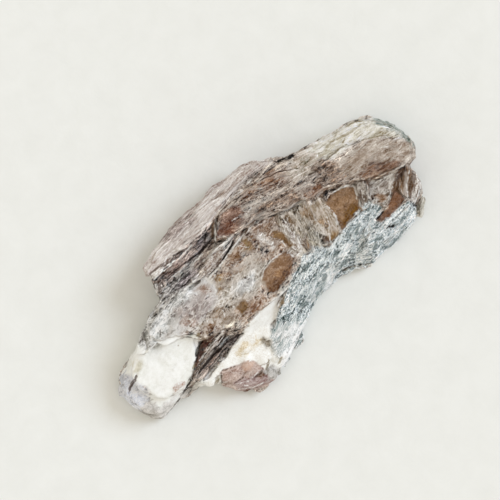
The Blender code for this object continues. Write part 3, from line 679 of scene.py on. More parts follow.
# ---------------------------------------------------------------- colours
# Each tone's dark, middle and light shade, red, green and blue from 0 to 255. They began as measured
# averages of areas in the photo and were then fitted, tone by tone, until the render's averages agreed.
# Some tones also hold painted shade of clefts, seams and hollows; the comments at their patches say which.
TONES = {
    "base": "41,27,18 158,134,121 252,244,229", "silver": "202,198,195 210,208,205 217,216,214",
    "lilac grey": "137,125,121 170,157,153 205,195,191", "white": "124,110,91 192,182,169 245,240,234",
    "bright white": "119,111,106 195,197,196 252,252,252",
    "pale film": "126,104,87 198,190,180 252,252,252", "blue white": "124,122,118 197,200,199 252,252,252",
    "plate pale": "95,67,45 163,136,115 218,196,178", "fan spot": "81,57,23 197,168,137 252,252,252",
    "cream white": "229,228,223 240,240,237 247,249,248",
    "chalk ochre": "204,199,181 225,221,206 242,241,231", "pink grey": "87,73,67 163,143,137 233,223,221",
    "plate brown": "49,17,2 138,106,81 228,207,188", "olive brown": "115,86,48 148,117,78 181,157,120",
    "oval brown": "94,60,30 132,99,70 172,146,122", "deep brown": "88,56,18 130,98,58 164,132,88",
    "window upper": "100,68,38 147,115,84 186,156,126", "window lower": "80,46,4 116,77,6 148,108,42",
    "red brown": "78,44,23 127,90,65 176,146,121", "film brown": "70,36,6 114,78,44 158,128,100",
    "film olive": "44,20,0 90,58,12 148,112,62", "red deep": "84,46,29 132,91,69 178,141,116",
    "spot brown": "114,82,51 180,158,140 232,219,205", "seam brown and shadow": "44,26,14 104,80,60 176,146,120",
    "veil": "98,78,58 149,133,116 199,188,175", "strip olive": "110,88,64 143,124,103 184,167,152",
    "fan dark": "48,42,30 104,96,78 190,184,170", "blade brown": "65,34,10 113,80,53 169,130,100",
    "oval deep": "63,28,2 123,85,51 172,136,99", "hollow brown": "26,12,7 78,64,57 162,144,137",
    "foot brown": "90,68,38 140,120,92 190,175,150", "red plate": "70,32,16 160,129,112 233,207,193",
    "fold brown and shade": "18,0,0 86,30,0 128,66,10", "blade rose": "128,108,90 160,143,128 196,182,168",
    "rim green": "80,92,84 146,154,146 200,205,199", "hollow red": "66,40,32 128,104,96 186,164,154",
    "rust": "66,36,14 112,72,44 158,120,90", "blade grey": "44,21,14 140,119,104 239,227,214",
    "blade dark": "27,8,2 106,81,65 202,173,149", "blade pink": "134,115,98 180,165,152 228,223,214",
    "blade cream": "176,168,148 237,234,222 243,244,252",
    "blade pale": "142,128,107 208,193,182 252,252,247",
    "pink silver": "179,165,158 213,205,200 240,236,233", "pink": "155,134,127 192,179,174 222,220,218",
    "sheet purple": "32,14,17 139,120,111 240,219,208", "dark sheet and shade": "16,10,12 92,80,82 236,226,230",
    "slate": "34,28,26 172,164,158 252,252,252", "strip brown": "90,63,45 168,152,139 252,249,246",
    "shade brown": "80,56,34 118,90,64 156,130,104", "fan": "87,73,55 148,137,118 208,197,182",
    "fan pale": "140,123,101 169,155,135 197,182,169", "fan brown": "100,77,49 127,101,69 157,133,106",
    "flank": "108,126,128 222,233,239 252,252,252", "flank pale": "139,153,153 244,243,242 252,252,252",
    "plate grey": "103,88,75 151,141,132 201,194,184", "corner brown": "81,55,32 105,76,50 138,109,78",
    "cream": "237,235,229 249,250,247 249,250,247", "ochre": "214,198,168 238,228,208 250,247,242",
    "film pink": "143,119,104 184,163,155 225,216,209", "chalk pink": "194,177,168 242,245,244 248,248,247",
    "chalk": "240,241,237 248,249,247 248,249,247", "knob mauve": "142,114,102 188,165,154 226,210,202",
    "knob pink": "184,151,132 202,171,153 213,188,174", "knob deep": "124,94,90 162,140,136 204,188,184",
    "end lilac": "184,186,194 214,218,228 241,244,252", "end rim": "169,165,159 206,204,201 229,226,223",
    "ridge brown": "18,16,14 122,104,88 220,204,193", "band brown and shade": "6,2,2 52,36,30 184,158,144",
    "shadow brown": "25,10,2 68,40,19 119,86,57", "flake olive": "140,134,114 178,172,156 216,214,204",
}
# How a tone is spread: streaks along the grain, mottling, white lines of thin films, specks, grit, roughness.
SPREADS = {
    "streaked": (0.46, 0.52, 0.50, 0.0, 0.60, 0.46),
    "lined": (0.74, 0.28, 0.35, 0.0, 0.60, 0.44),
    "brushed": (0.30, 0.42, 0.30, 0.0, 0.50, 0.42),
    "satin": (0.40, 0.45, 0.30, 0.0, 0.30, 0.42),
    "filmy": (0.15, 0.85, 0.90, 0.0, 0.40, 0.42),
    "plain": (0.08, 0.40, 0.12, 0.0, 0.45, 0.38),
    "fanned": (0.74, 0.44, 0.80, 0.0, 0.65, 0.44),
    "fibrous": (0.60, 0.34, 0.12, 1.0, 1.40, 0.58),
    "pale fibrous": (0.25, 0.22, 0.10, 0.10, 0.30, 0.62),
    "chalky": (0.05, 0.55, 0.05, 0.0, 0.40, 0.85),
    "crumbly": (0.05, 0.26, 0.05, 0.0, 0.85, 0.85),
    "knobby": (0.10, 0.50, 0.35, 0.0, 0.50, 0.55),
}
# Patches in painting order: tone, spread, softness of the border, its wobble, outline.
PATCHES = [
    ("silver", "filmy", 1.6, 0.8, """-32,9 -31,4 -27,0.5 -21,-0.6 -16,0.4 -10,1 -9.4,4 -9.2,7.2 -16,8.8
     -25,9.6"""),
    ("blue white", "filmy", 1.4, 0.9, """-37.5,5.4 -33,3.4 -28.6,3.4 -24,4.4 -21.4,5.6 -17.6,5.6 -14.6,7
     -13.4,8.6 -18,9.2 -25,9.6 -31,8.4 -36,6.6"""),
    ("bright white", "filmy", 1.2, 0.8, "-26.2,5.4 -24.4,5.2 -22,6.2 -22.4,7.8 -25.2,7.6"),
    ("lilac grey", "filmy", 2, 1, "-21.5,6.2 -21.5,0.4 -17,0.6 -12.4,2 -13,4.4 -15,5.6 -18,5.6"),
    ("film pink", "filmy", 0.9, 0.6, "-22.4,3.6 -21.8,-0.4 -20.4,-0.4 -19.6,1.6 -20.2,3.8"),
    ("film pink", "filmy", 0.9, 0.5, "-15.2,6.6 -13.9,4.6 -12.2,4 -11.8,5.2 -12.6,6.4"),
    ("strip brown", "filmy", 1.2, 0.8, "-24.6,1 -24,-0.4 -21.4,-0.5 -21.6,1.6 -22.6,2"),
    ("plate brown", "filmy", 0.6, 0.5, """-11.9,1.7 -10,4 -9.2,6.4 -6,7.4 -1,8.3 4.5,9 10,8.4 13,6.8
     10.2,5.4 9.6,1.4 8,-0.8 2.4,0.6 0,2.6 -4.5,2.4 -9,1.6"""),
    ("veil", "filmy", 1.2, 0.8, "-8.2,3.6 -5.4,3 -1.6,4.2 1.4,3.8 2.2,2.6 0.4,1 -5.5,1.4 -8.4,2.6"),
    ("olive brown", "filmy", 0.5, 0.4, "-11.9,1.7 -10.4,3.6 -9.2,5.8 -8,5.2 -8.6,3 -9.6,1.7"),
    ("oval brown", "filmy", 0.8, 0.7, "-5,6.9 -4.4,5 -2.4,4.6 -0.8,5.6 1.6,4.6 3.4,5.4 2.8,7.6 -0.6,7.8"),
    ("film brown", "filmy", 0.6, 0.5, "0.6,8.2 5.2,8.4 5,5.2 3.4,4.8 2.4,5.6 0.8,5.8"),
    ("spot brown", "plain", 0.5, 0.5, "-4.4,6 -4,7.4 -1.2,7.4 -1.4,5.4 -3,5"),
    ("olive brown", "plain", 0.4, 0.4, "0.7,8 0.9,5.2 2.2,4.9 2.3,8.1"),
    ("olive brown", "plain", 0.4, 0.3, "-0.6,6.1 0.4,6.2 3.6,4.2 4.6,4.4 4.4,3.4 2.8,3.2 0.4,5"),
    ("oval brown", "filmy", 0.6, 0.5, "-5.8,4.8 -2.8,4.6 -2.4,3.2 -5,2.8"),
    ("film brown", "filmy", 0.5, 0.4, "5.6,7.8 9.6,8 9.4,5.6 8.9,4.2 7,4.4 5.8,6"),
    ("strip olive", "filmy", 1, 0.8, """-22,-0.6 -21.4,-3.4 -18,-4.4 -10.4,-4.6 -3.6,-4.4 -3.2,-2.4
     -9.6,-0.8 -14,0.6 -18,0.2"""),
    ("film brown", "filmy", 1, 0.7, "-19.6,-1.2 -19.4,-3.6 -16.6,-3.8 -16.8,-1.4"),
    ("film olive", "filmy", 0.4, 0.3, "-11.8,1.5 -8.2,1.5 -8,2.6 -9.2,3.7 -10.2,2.9"),
    ("film olive", "filmy", 0.9, 0.6, "-15.6,-0.2 -15.8,-1.8 -11.2,-1.8 -11,-0.2 -13,0.6"),
    ("plate pale", "filmy", 0.9, 0.6, "-11,-2.8 -11.4,-6 -4.2,-7 -1.4,-7.2 -1.8,-2.6 -4.6,-3.2 -7.6,-2.4"),
    ("white", "filmy", 1.5, 0.9, """-14,1 -9,2.4 -4,2.4 0.6,1.4 1.6,0.4 -0.6,-0.6 -2.6,-2.6 -5.2,-3
     -8.4,-1.8 -12,-0.8"""),
    ("bright white", "filmy", 1.4, 0.7, "-8,0.4 -5,1.4 -2.2,0.8 -2.6,-1.2 -4.8,-2.2 -7.6,-1.2"),
    ("deep brown", "plain", 0.5, 0.5, "-10.3,-2.8 -10.2,-5.2 -8,-4.8 -7.4,-3.2 -8.8,-2.4"),
    ("rust", "filmy", 0.6, 0.5, "-9.6,-4.9 -9.4,-6.1 -4.4,-6.3 -5,-5.2 -7.2,-4.4"),
    ("film brown", "filmy", 0.6, 0.5, "1.2,1.2 5.4,0.8 7.2,1 7.4,2.6 6.6,4.4 5.6,3.4 4.6,2 1.6,2.2"),
    ("pale film", "fanned", 0.7, 0.6, "4.6,7 4.6,3.6 5.2,1.8 6.2,2.2 5.4,5 5.4,7.2"),
    ("oval brown", "plain", 0.35, 0.35, """-1.6,-2 0.2,-0.6 3,-0.1 5.8,-0.4 7.3,-1.7 7.2,-3 5.4,-4.4 2,-5.4
     -0.8,-6 -2.6,-5.2 -2.2,-3.4"""),
    ("oval deep", "plain", 1, 0.8, "0.8,-3.4 2,-2.6 5.2,-3.2 4.4,-4.6 1.6,-5.2 0.6,-4.6"),
    ("fan", "fanned", 0.7, 0.5, """8.6,0.4 8.4,-2.4 11,-4.6 15.2,-6.3 19.9,-5.7 21,-2.4 21.1,1.4 22.4,3.6
     17,5.8 11,7.2 9.6,5.4"""),
    ("fan pale", "fanned", 0.8, 0.6, "16.6,4.4 16.8,-0.6 15.8,-5.8 19.6,-5.6 21.2,-2.4 21.2,1.6 20.4,3.8"),
    ("pale film", "fanned", 0.8, 0.6, "9.2,4.6 9.4,0.8 7.6,-1 7.8,-3.4 9.8,-3.2 11.2,-1 11,2.6 11.4,5.2"),
    ("fan brown", "fanned", 0.6, 0.5, "15.2,4.2 15.4,0.6 16.6,-0.4 17.2,2 16.8,4.6"),
    ("fan brown", "fanned", 0.6, 0.5, "11.8,6.2 11.4,3 12.4,2 13.4,3.6 13.2,6"),
    ("fan spot", "plain", 0.5, 0.4, "16.9,0.4 16.8,-3 18.6,-3.2 18.8,-0.4"),
    ("olive brown", "plain", 0.4, 0.35, "16.4,-4.4 16.4,-6.1 18.9,-5.7 18.8,-4.3"),
    ("corner brown", "plain", 0.4, 0.35, "15.2,-4.2 15.2,-5.7 16.2,-5.7 16.1,-4.1"),
    ("corner brown", "fanned", 0.5, 0.5, "10.4,-3.4 11.2,-1.4 12.6,-1.2 12.6,-3.4 11.4,-4.2"),
    ("fan dark", "fanned", 0.7, 0.6, "12.6,-1 12.6,-4.6 15,-5.2 15.2,-1.8 14.2,0.4"),
    ("deep brown", "plain", 0.35, 0.3, "8,2.2 8.05,-0.7 9.3,-0.8 9.2,2.4 8.8,4.6 7.6,5 6.8,3.6"),
    # Brown of the plate, with a painted shadow under the upper blade's edge.
    ("seam brown and shadow", "filmy", 0.8, 0.5, "21,3.6 20.9,1.2 23.6,1.4 26.4,2 24.4,3 22.4,3.6"),
    ("window upper", "plain", 0.16, 0.16, """20.9,1.6 23.4,2.2 26,1.8 28.4,0.4 28,-1.3 26.7,-4.2 24,-4.9
     19.8,-5.3 20.9,-2.5"""),
    ("window lower", "plain", 0.3, 0.3, """19.9,-5.6 20.8,-4.2 22.2,-4 22.8,-2.6 25.8,-2.5 26.3,-3.6 25.6,-5
     24,-5.6"""),
    ("plate grey", "lined", 0.3, 0.3, """26.7,-4.9 27.9,-1.6 28.8,0.3 30.4,0.6 31.6,-1.4 29.6,-3.6
     28.9,-5.3"""),
    ("plate brown", "filmy", 0.8, 0.6, "1.4,4.2 3.2,2.4 4.6,3 3.8,4.8 2.4,5.6"),
    ("plate grey", "filmy", 0.6, 0.4, "29.2,-1 29.2,-5.4 30.8,-8.2 34,-6.6 38.4,-4.2 40.4,-3.6 34.4,-2"),
    ("plate grey", "filmy", 0.9, 0.6, "30.6,-2.2 33.4,-2.6 36.4,-3.4 34.8,-4.6 31.6,-4.2 30.2,-3.4"),
    ("spot brown", "plain", 0.5, 0.4, "30.5,-4.6 31.4,-4.2 32.4,-5.2 32.2,-7.2 30.7,-7.2"),
    ("corner brown", "lined", 0.4, 0.4, """32.6,-7.8 35.4,-5.6 38.4,-4.2 40.6,-3.7 41.2,-7.6 39.6,-9
     36.4,-10.4 35.6,-7.4"""),
    ("corner brown", "plain", 0.8, 0.5, """34,-6.6 36,-5.2 38.6,-3.8 40.4,-3.8 38.4,-5.4 36.6,-6.4 35.6,-8.6
     34.6,-8.6"""),
    ("shadow brown", "plain", 0.6, 0.5, "36.2,-5 38.6,-3.5 40.8,-3.9 40.2,-4.8 38,-5.5"),
    ("rust", "plain", 0.3, 0.3, """27,-9.1 30.2,-8.7 33.4,-7.4 34.8,-6.4 35.4,-8 35.6,-10.1 32.4,-10.3
     30.4,-10.7 28.5,-10.6 27.6,-9.8"""),
    ("pale film", "lined", 0.4, 0.4, "36.6,-10.4 41.2,-7.8 41,-9.6 38.6,-11.4 36.2,-12.4"),
    ("flank", "fibrous", 0.5, 0.5, """-2.4,-9 3.4,-6.5 9.2,-4.1 12.4,-3.7 15,-6.6 20,-5.6 24.2,-5.2
     26.8,-4.4 29.2,-4.6 30.6,-7.8 27,-9.3 28.4,-10.8 36,-10.4 36.8,-12.8 34.4,-16.2 27,-16.6 20,-16.6
     13,-13.6 4,-15.2 -6,-19.4 -12.4,-22.6 -11.6,-16.6 -7,-12.4"""),
    ("flank pale", "pale fibrous", 1.6, 1, "-12.6,-21.8 -11,-12.6 -6.4,-11 -3.4,-13.6 0.4,-16.4 -6,-19.6"),
    ("flank pale", "pale fibrous", 1.4, 1, "3,-12 9,-10 13.4,-11.4 10,-14 4,-15.2"),
    ("cream", "crumbly", 0.4, 0.5, """-31.4,-10 -28.4,-12.6 -25,-13.6 -20,-13.2 -16.6,-16.6 -13.4,-21.6
     -11,-19.2 -10.6,-14.6 -7,-11.4 -2.6,-9.2 2,-7 -1.6,-7 -9,-7.2 -14,-8.2 -20,-9.6 -27,-9.9"""),
    ("cream white", "chalky", 1, 0.7, "-13,-8.2 -8,-7.4 -1,-7.2 2.4,-6.9 -3,-9.6 -8,-10.8"),
    ("ochre", "crumbly", 1.8, 1.2, "-16.8,-11.6 -16.2,-10 -13.8,-9.9 -13.2,-11.8 -14.8,-12.2"),
    ("ochre", "crumbly", 0.9, 1, "-12.6,-10.9 -12.4,-12.2 -10.8,-12.6 -11.4,-11.2"),
    ("foot brown", "plain", 0.35, 0.4, "-3.2,-9.2 -2.2,-8.6 -0.4,-8 -0.2,-8.5 -1.4,-9.2 -2.6,-9.6"),
    ("fan", "knobby", 0.8, 0.6, "-11.2,-12.6 -10.2,-12 -9.6,-13.2 -10.6,-14.4"),
    ("knob mauve", "knobby", 0.35, 0.3, """-24.9,-14.2 -23.4,-11.7 -22.2,-11.4 -19.4,-12.8 -18.2,-13.4
     -16.2,-13.8 -15.2,-16 -15.2,-18 -13.2,-22.2 -17.4,-21.8 -23.4,-18.2"""),
    ("knob pink", "knobby", 0.5, 0.4, """-19.2,-14.6 -18.4,-13.6 -16.4,-13.8 -15.8,-15.2 -17.4,-16
     -19,-15.4"""),
    ("knob deep", "knobby", 0.6, 0.5, """-22.8,-15.8 -19.6,-16.2 -19.4,-17.6 -15.6,-17.9 -14.6,-19.6
     -15.8,-21.6 -20.6,-19.6 -22.6,-17.8"""),
    ("rust", "knobby", 0.5, 0.4, "-17.6,-17.9 -15.7,-17.9 -15.6,-19.1 -17.2,-19"),
    ("end rim", "knobby", 0.6, 0.5, "-15.4,-18.4 -13,-18.4 -12.2,-20.6 -14.2,-22.2 -15.6,-20.6"),
    ("end lilac", "filmy", 1, 0.6, """-46,-3 -44.8,1.4 -41,3.6 -38.8,2.4 -38.2,0.2 -38.6,-4.6 -41,-6.2
     -45,-6"""),
    ("end rim", "filmy", 0.8, 0.6, """-45,-5 -41,-5.4 -38.6,-7.6 -35,-8.6 -31,-8.6 -31,-10.2 -37,-11.4
     -42,-11"""),
    ("chalk", "chalky", 0.7, 0.7, """-39,0.8 -38.9,-1 -38.6,-3.6 -39.8,-6.4 -39,-8.2 -36,-8.5 -31.6,-8.8
     -28.2,-7.6 -25.6,-5.6 -21.7,-3.2 -21.3,-1.3 -23.8,1 -27,2.5 -31.6,3.6 -33.4,5.8 -37.6,5.4 -39.9,3.4"""),
    ("chalk pink", "chalky", 0.3, 0.15, "-34.3,-8.1 -33.7,-6.6 -32.4,-6.9 -30.8,-7.6 -30.6,-8.3"),
    ("chalk ochre", "chalky", 1.2, 0.7, "-38,2 -35.6,3.2 -34.8,2.4 -37,1.2"),
    ("ridge brown", "lined", 0.4, 0.4, """-29.4,-8.2 -26,-6.4 -22.6,-3.9 -18.4,-3.8 -15.4,-4.6 -13.2,-6.6
     -13.6,-8.2 -20,-9.2 -27,-10.2"""),
    ("pale film", "lined", 0.5, 0.4, "-24,-6.5 -19,-5.3 -16.4,-4.7 -16.6,-5.7 -20,-6.4"),
    # The channel between the fold's ridges: brown, with painted shade of the groove.
    ("band brown and shade", "lined", 0.35, 0.4, "-26.4,-9.1 -26,-7.9 -20,-7 -14,-7.3 -14.2,-8.2 -20,-8.9"),
    # The fold's wedge: brown of the stone, with painted shade of the crevice below the chalky facet's edge.
    ("fold brown and shade", "plain", 0.35, 0.3, """-27.4,-7 -24,-4.8 -21.8,-3.4 -18.4,-3.8 -18.6,-4.4 -22.2,-5.2
     -25.6,-6.6"""),
    ("slate", "streaked", 0.8, 0.6, """-25.6,8.4 -22,8 -19.6,8.6 -12,8.6 -11.4,9.6 -11,11.8 -20,12
     -22.6,10.6 -25.2,9.4"""),
    ("sheet purple", "lined", 0.5, 0.5, "-21.6,15.8 -20.8,12.2 -15,11.8 -4,12 -1,15.8 -12,16"),
    ("strip brown", "lined", 0.5, 0.4, "-20.4,16.2 -19.6,15.2 -14.4,15.2 -12.6,15.8 -15,16.2"),
    ("hollow red", "lined", 0.6, 0.5, "-18.4,14.5 -17.6,13.2 -13,12.9 -12.6,14 -14.6,14.6"),
    ("slate", "lined", 0.5, 0.5, "-21.6,13.2 -21.6,10.6 -20.4,11 -19.4,13.6 -20.6,14.4"),
    # These two are dark sheets of the hollow, with painted shade along its crevice and where the upper
    # blade's shadow falls.
    ("dark sheet and shade", "lined", 0.5, 0.5, "-11,12.9 -8,11.9 -4.4,12.2 -3.6,13.4 -7,13.2"),
    ("dark sheet and shade", "lined", 0.7, 0.5, "-8.6,13.4 -5.6,15.2 -3.8,14.9 -4.2,13 -7,12.6"),
    ("slate", "lined", 0.5, 0.5, "-16.2,12 -12,12.4 -8,12.2 -6,11.8 -12,11.2"),
    ("dark sheet and shade", "lined", 0.7, 0.5, "-18.6,10.6 -17.6,9 -13,8.7 -9.4,9.6 -10.4,10.5 -14,10.9"),
    ("hollow brown", "streaked", 0.7, 0.5, "-12.6,10 -9.4,9.7 -7,10.6 -8.6,11.4 -11.6,11.4"),
    ("shade brown", "plain", 0.4, 0.3, "-4,13.2 -2,15.4 -0.7,16.2 -0.9,15.4 -2.8,13.4 -3.4,12.8"),
    ("strip brown", "streaked", 0.35, 0.3, "-11.2,7 -5,7.9 1.8,9.9 -1.4,10.5 -5.6,10.3 -9.8,9.2"),
    ("slate", "streaked", 0.5, 0.4, "-4.4,11.8 -1.8,10.4 -0.6,9.6 -4.2,8.6 -4.4,9.2 -1.2,10.2 -4.6,11.2"),
    ("pink silver", "lined", 0.4, 0.4, """-22,18.6 -21.6,15.6 -14.6,15.9 -5,15.5 -0.6,16.2 6,17.4 12.4,17.8
     18.6,16.6 18,20 4,23 -12,22"""),
    ("pink", "lined", 0.9, 0.7, "-4.2,22.4 -4,20.6 1,20.4 6.4,20.2 7.6,22.8"),
    ("pink grey", "lined", 0.9, 0.7, "-12,21.6 -13.6,19.2 -8,18.4 -4,19.2 -3.6,20.4 -8,20.8"),
    ("rust", "lined", 0.5, 0.3, "1.2,19.8 3,19.2 5.4,18.8 6.2,19.2 4.4,19.5"),
    ("blade grey", "streaked", 0.4, 0.4, """-3.4,12.2 0.4,10 7,8.5 12,6.9 17,5.6 18.2,3.8 22.6,3.8 26,2
     30,0.2 34,-2.1 40,-4.1 44.2,-4.4 47,-1 46.8,2 45,6 42.6,9.6 38,12 30,13.4 22,15.6 18.6,16.6 12.4,17.6
     6,17.2 0.4,16.3 -2.4,13.6"""),
    ("red plate", "plain", 0.5, 0.5, "-3,12.3 0.4,10.3 3.4,10.5 5.4,12.2 5.8,15.2 1.2,15.8 -0.4,14.4"),
    ("red deep", "plain", 0.7, 0.6, "-2,12.8 -0.6,11.4 1,10.5 2.4,10.8 2,12.8 0.8,14.2 -0.8,13.8"),
    ("blade brown", "streaked", 0.9, 0.7, "5.6,15.8 9.6,13.8 12,14.4 10.4,16.2"),
    ("red brown", "streaked", 1, 0.8, "11.6,15.4 12.4,12.6 18.6,11.8 19.4,13.2 17,15.8"),
    ("blade brown", "streaked", 0.6, 0.5, "15.6,12 16.6,10.8 20.4,10.6 20,11.8"),
    ("blade dark", "streaked", 1, 0.7, "6,10.8 7.4,9.2 16.2,7.8 16.6,9.6 12.8,11.2"),
    ("red brown", "streaked", 0.5, 0.4, "18.4,6.9 18.6,4.9 22.6,4.4 23.2,6 20,7.2"),
    ("blade dark", "streaked", 0.9, 0.7, "23.8,9.8 24,5.2 28.6,4.6 29.4,6.6 27.6,9.4"),
    ("blade dark", "streaked", 0.8, 0.7, "13.2,8.4 14.2,6.6 17.6,6 19.6,7.6 17.8,9.2"),
    ("blade dark", "streaked", 0.8, 0.7, "24.8,4.8 26.6,2.8 30,1.6 31.2,3 28.6,4.8"),
    ("blade pale", "satin", 1.2, 0.8, "18.6,13.8 19,9.8 24,9.6 31,9.8 31,12.6 24.8,14.2"),
    ("blade cream", "satin", 0.8, 0.6, """26,13.4 27.6,9.4 31,7.6 36,7.4 40.4,4.6 45.6,-0.6 46.8,1 44.8,6.2
     41.8,9.8 37.4,12 31,13.4"""),
    ("blade pink", "brushed", 1.2, 0.8, """30,6.8 28.4,3.6 31.4,0 38,-3 43.6,-3.4 44.8,-1.4 42.4,2.6 38,5.9
     33,6.9"""),
    ("blade rose", "brushed", 1.2, 0.8, "30.4,6.2 30,3.6 35.4,2.8 36.4,4.6 34,5.6"),
    ("red brown", "brushed", 0.9, 0.6, "30.8,1.6 31,-0.4 34.6,-1.6 40,-3.4 40.4,-2.6 36.8,-0.2 35.6,1.8"),
    ("rim green", "knobby", 0.8, 0.6, """41.6,7.7 42.6,5.4 43.5,3.6 44.5,1.4 45.2,-0.6 47.6,0.4 47.6,8
     43.6,9.2"""),
    ("flake olive", "streaked", 0.4, 0.3, "35.4,-15.8 36.4,-13.6 38.4,-12.4 40.2,-12 40,-14 37.6,-15.8"),
]
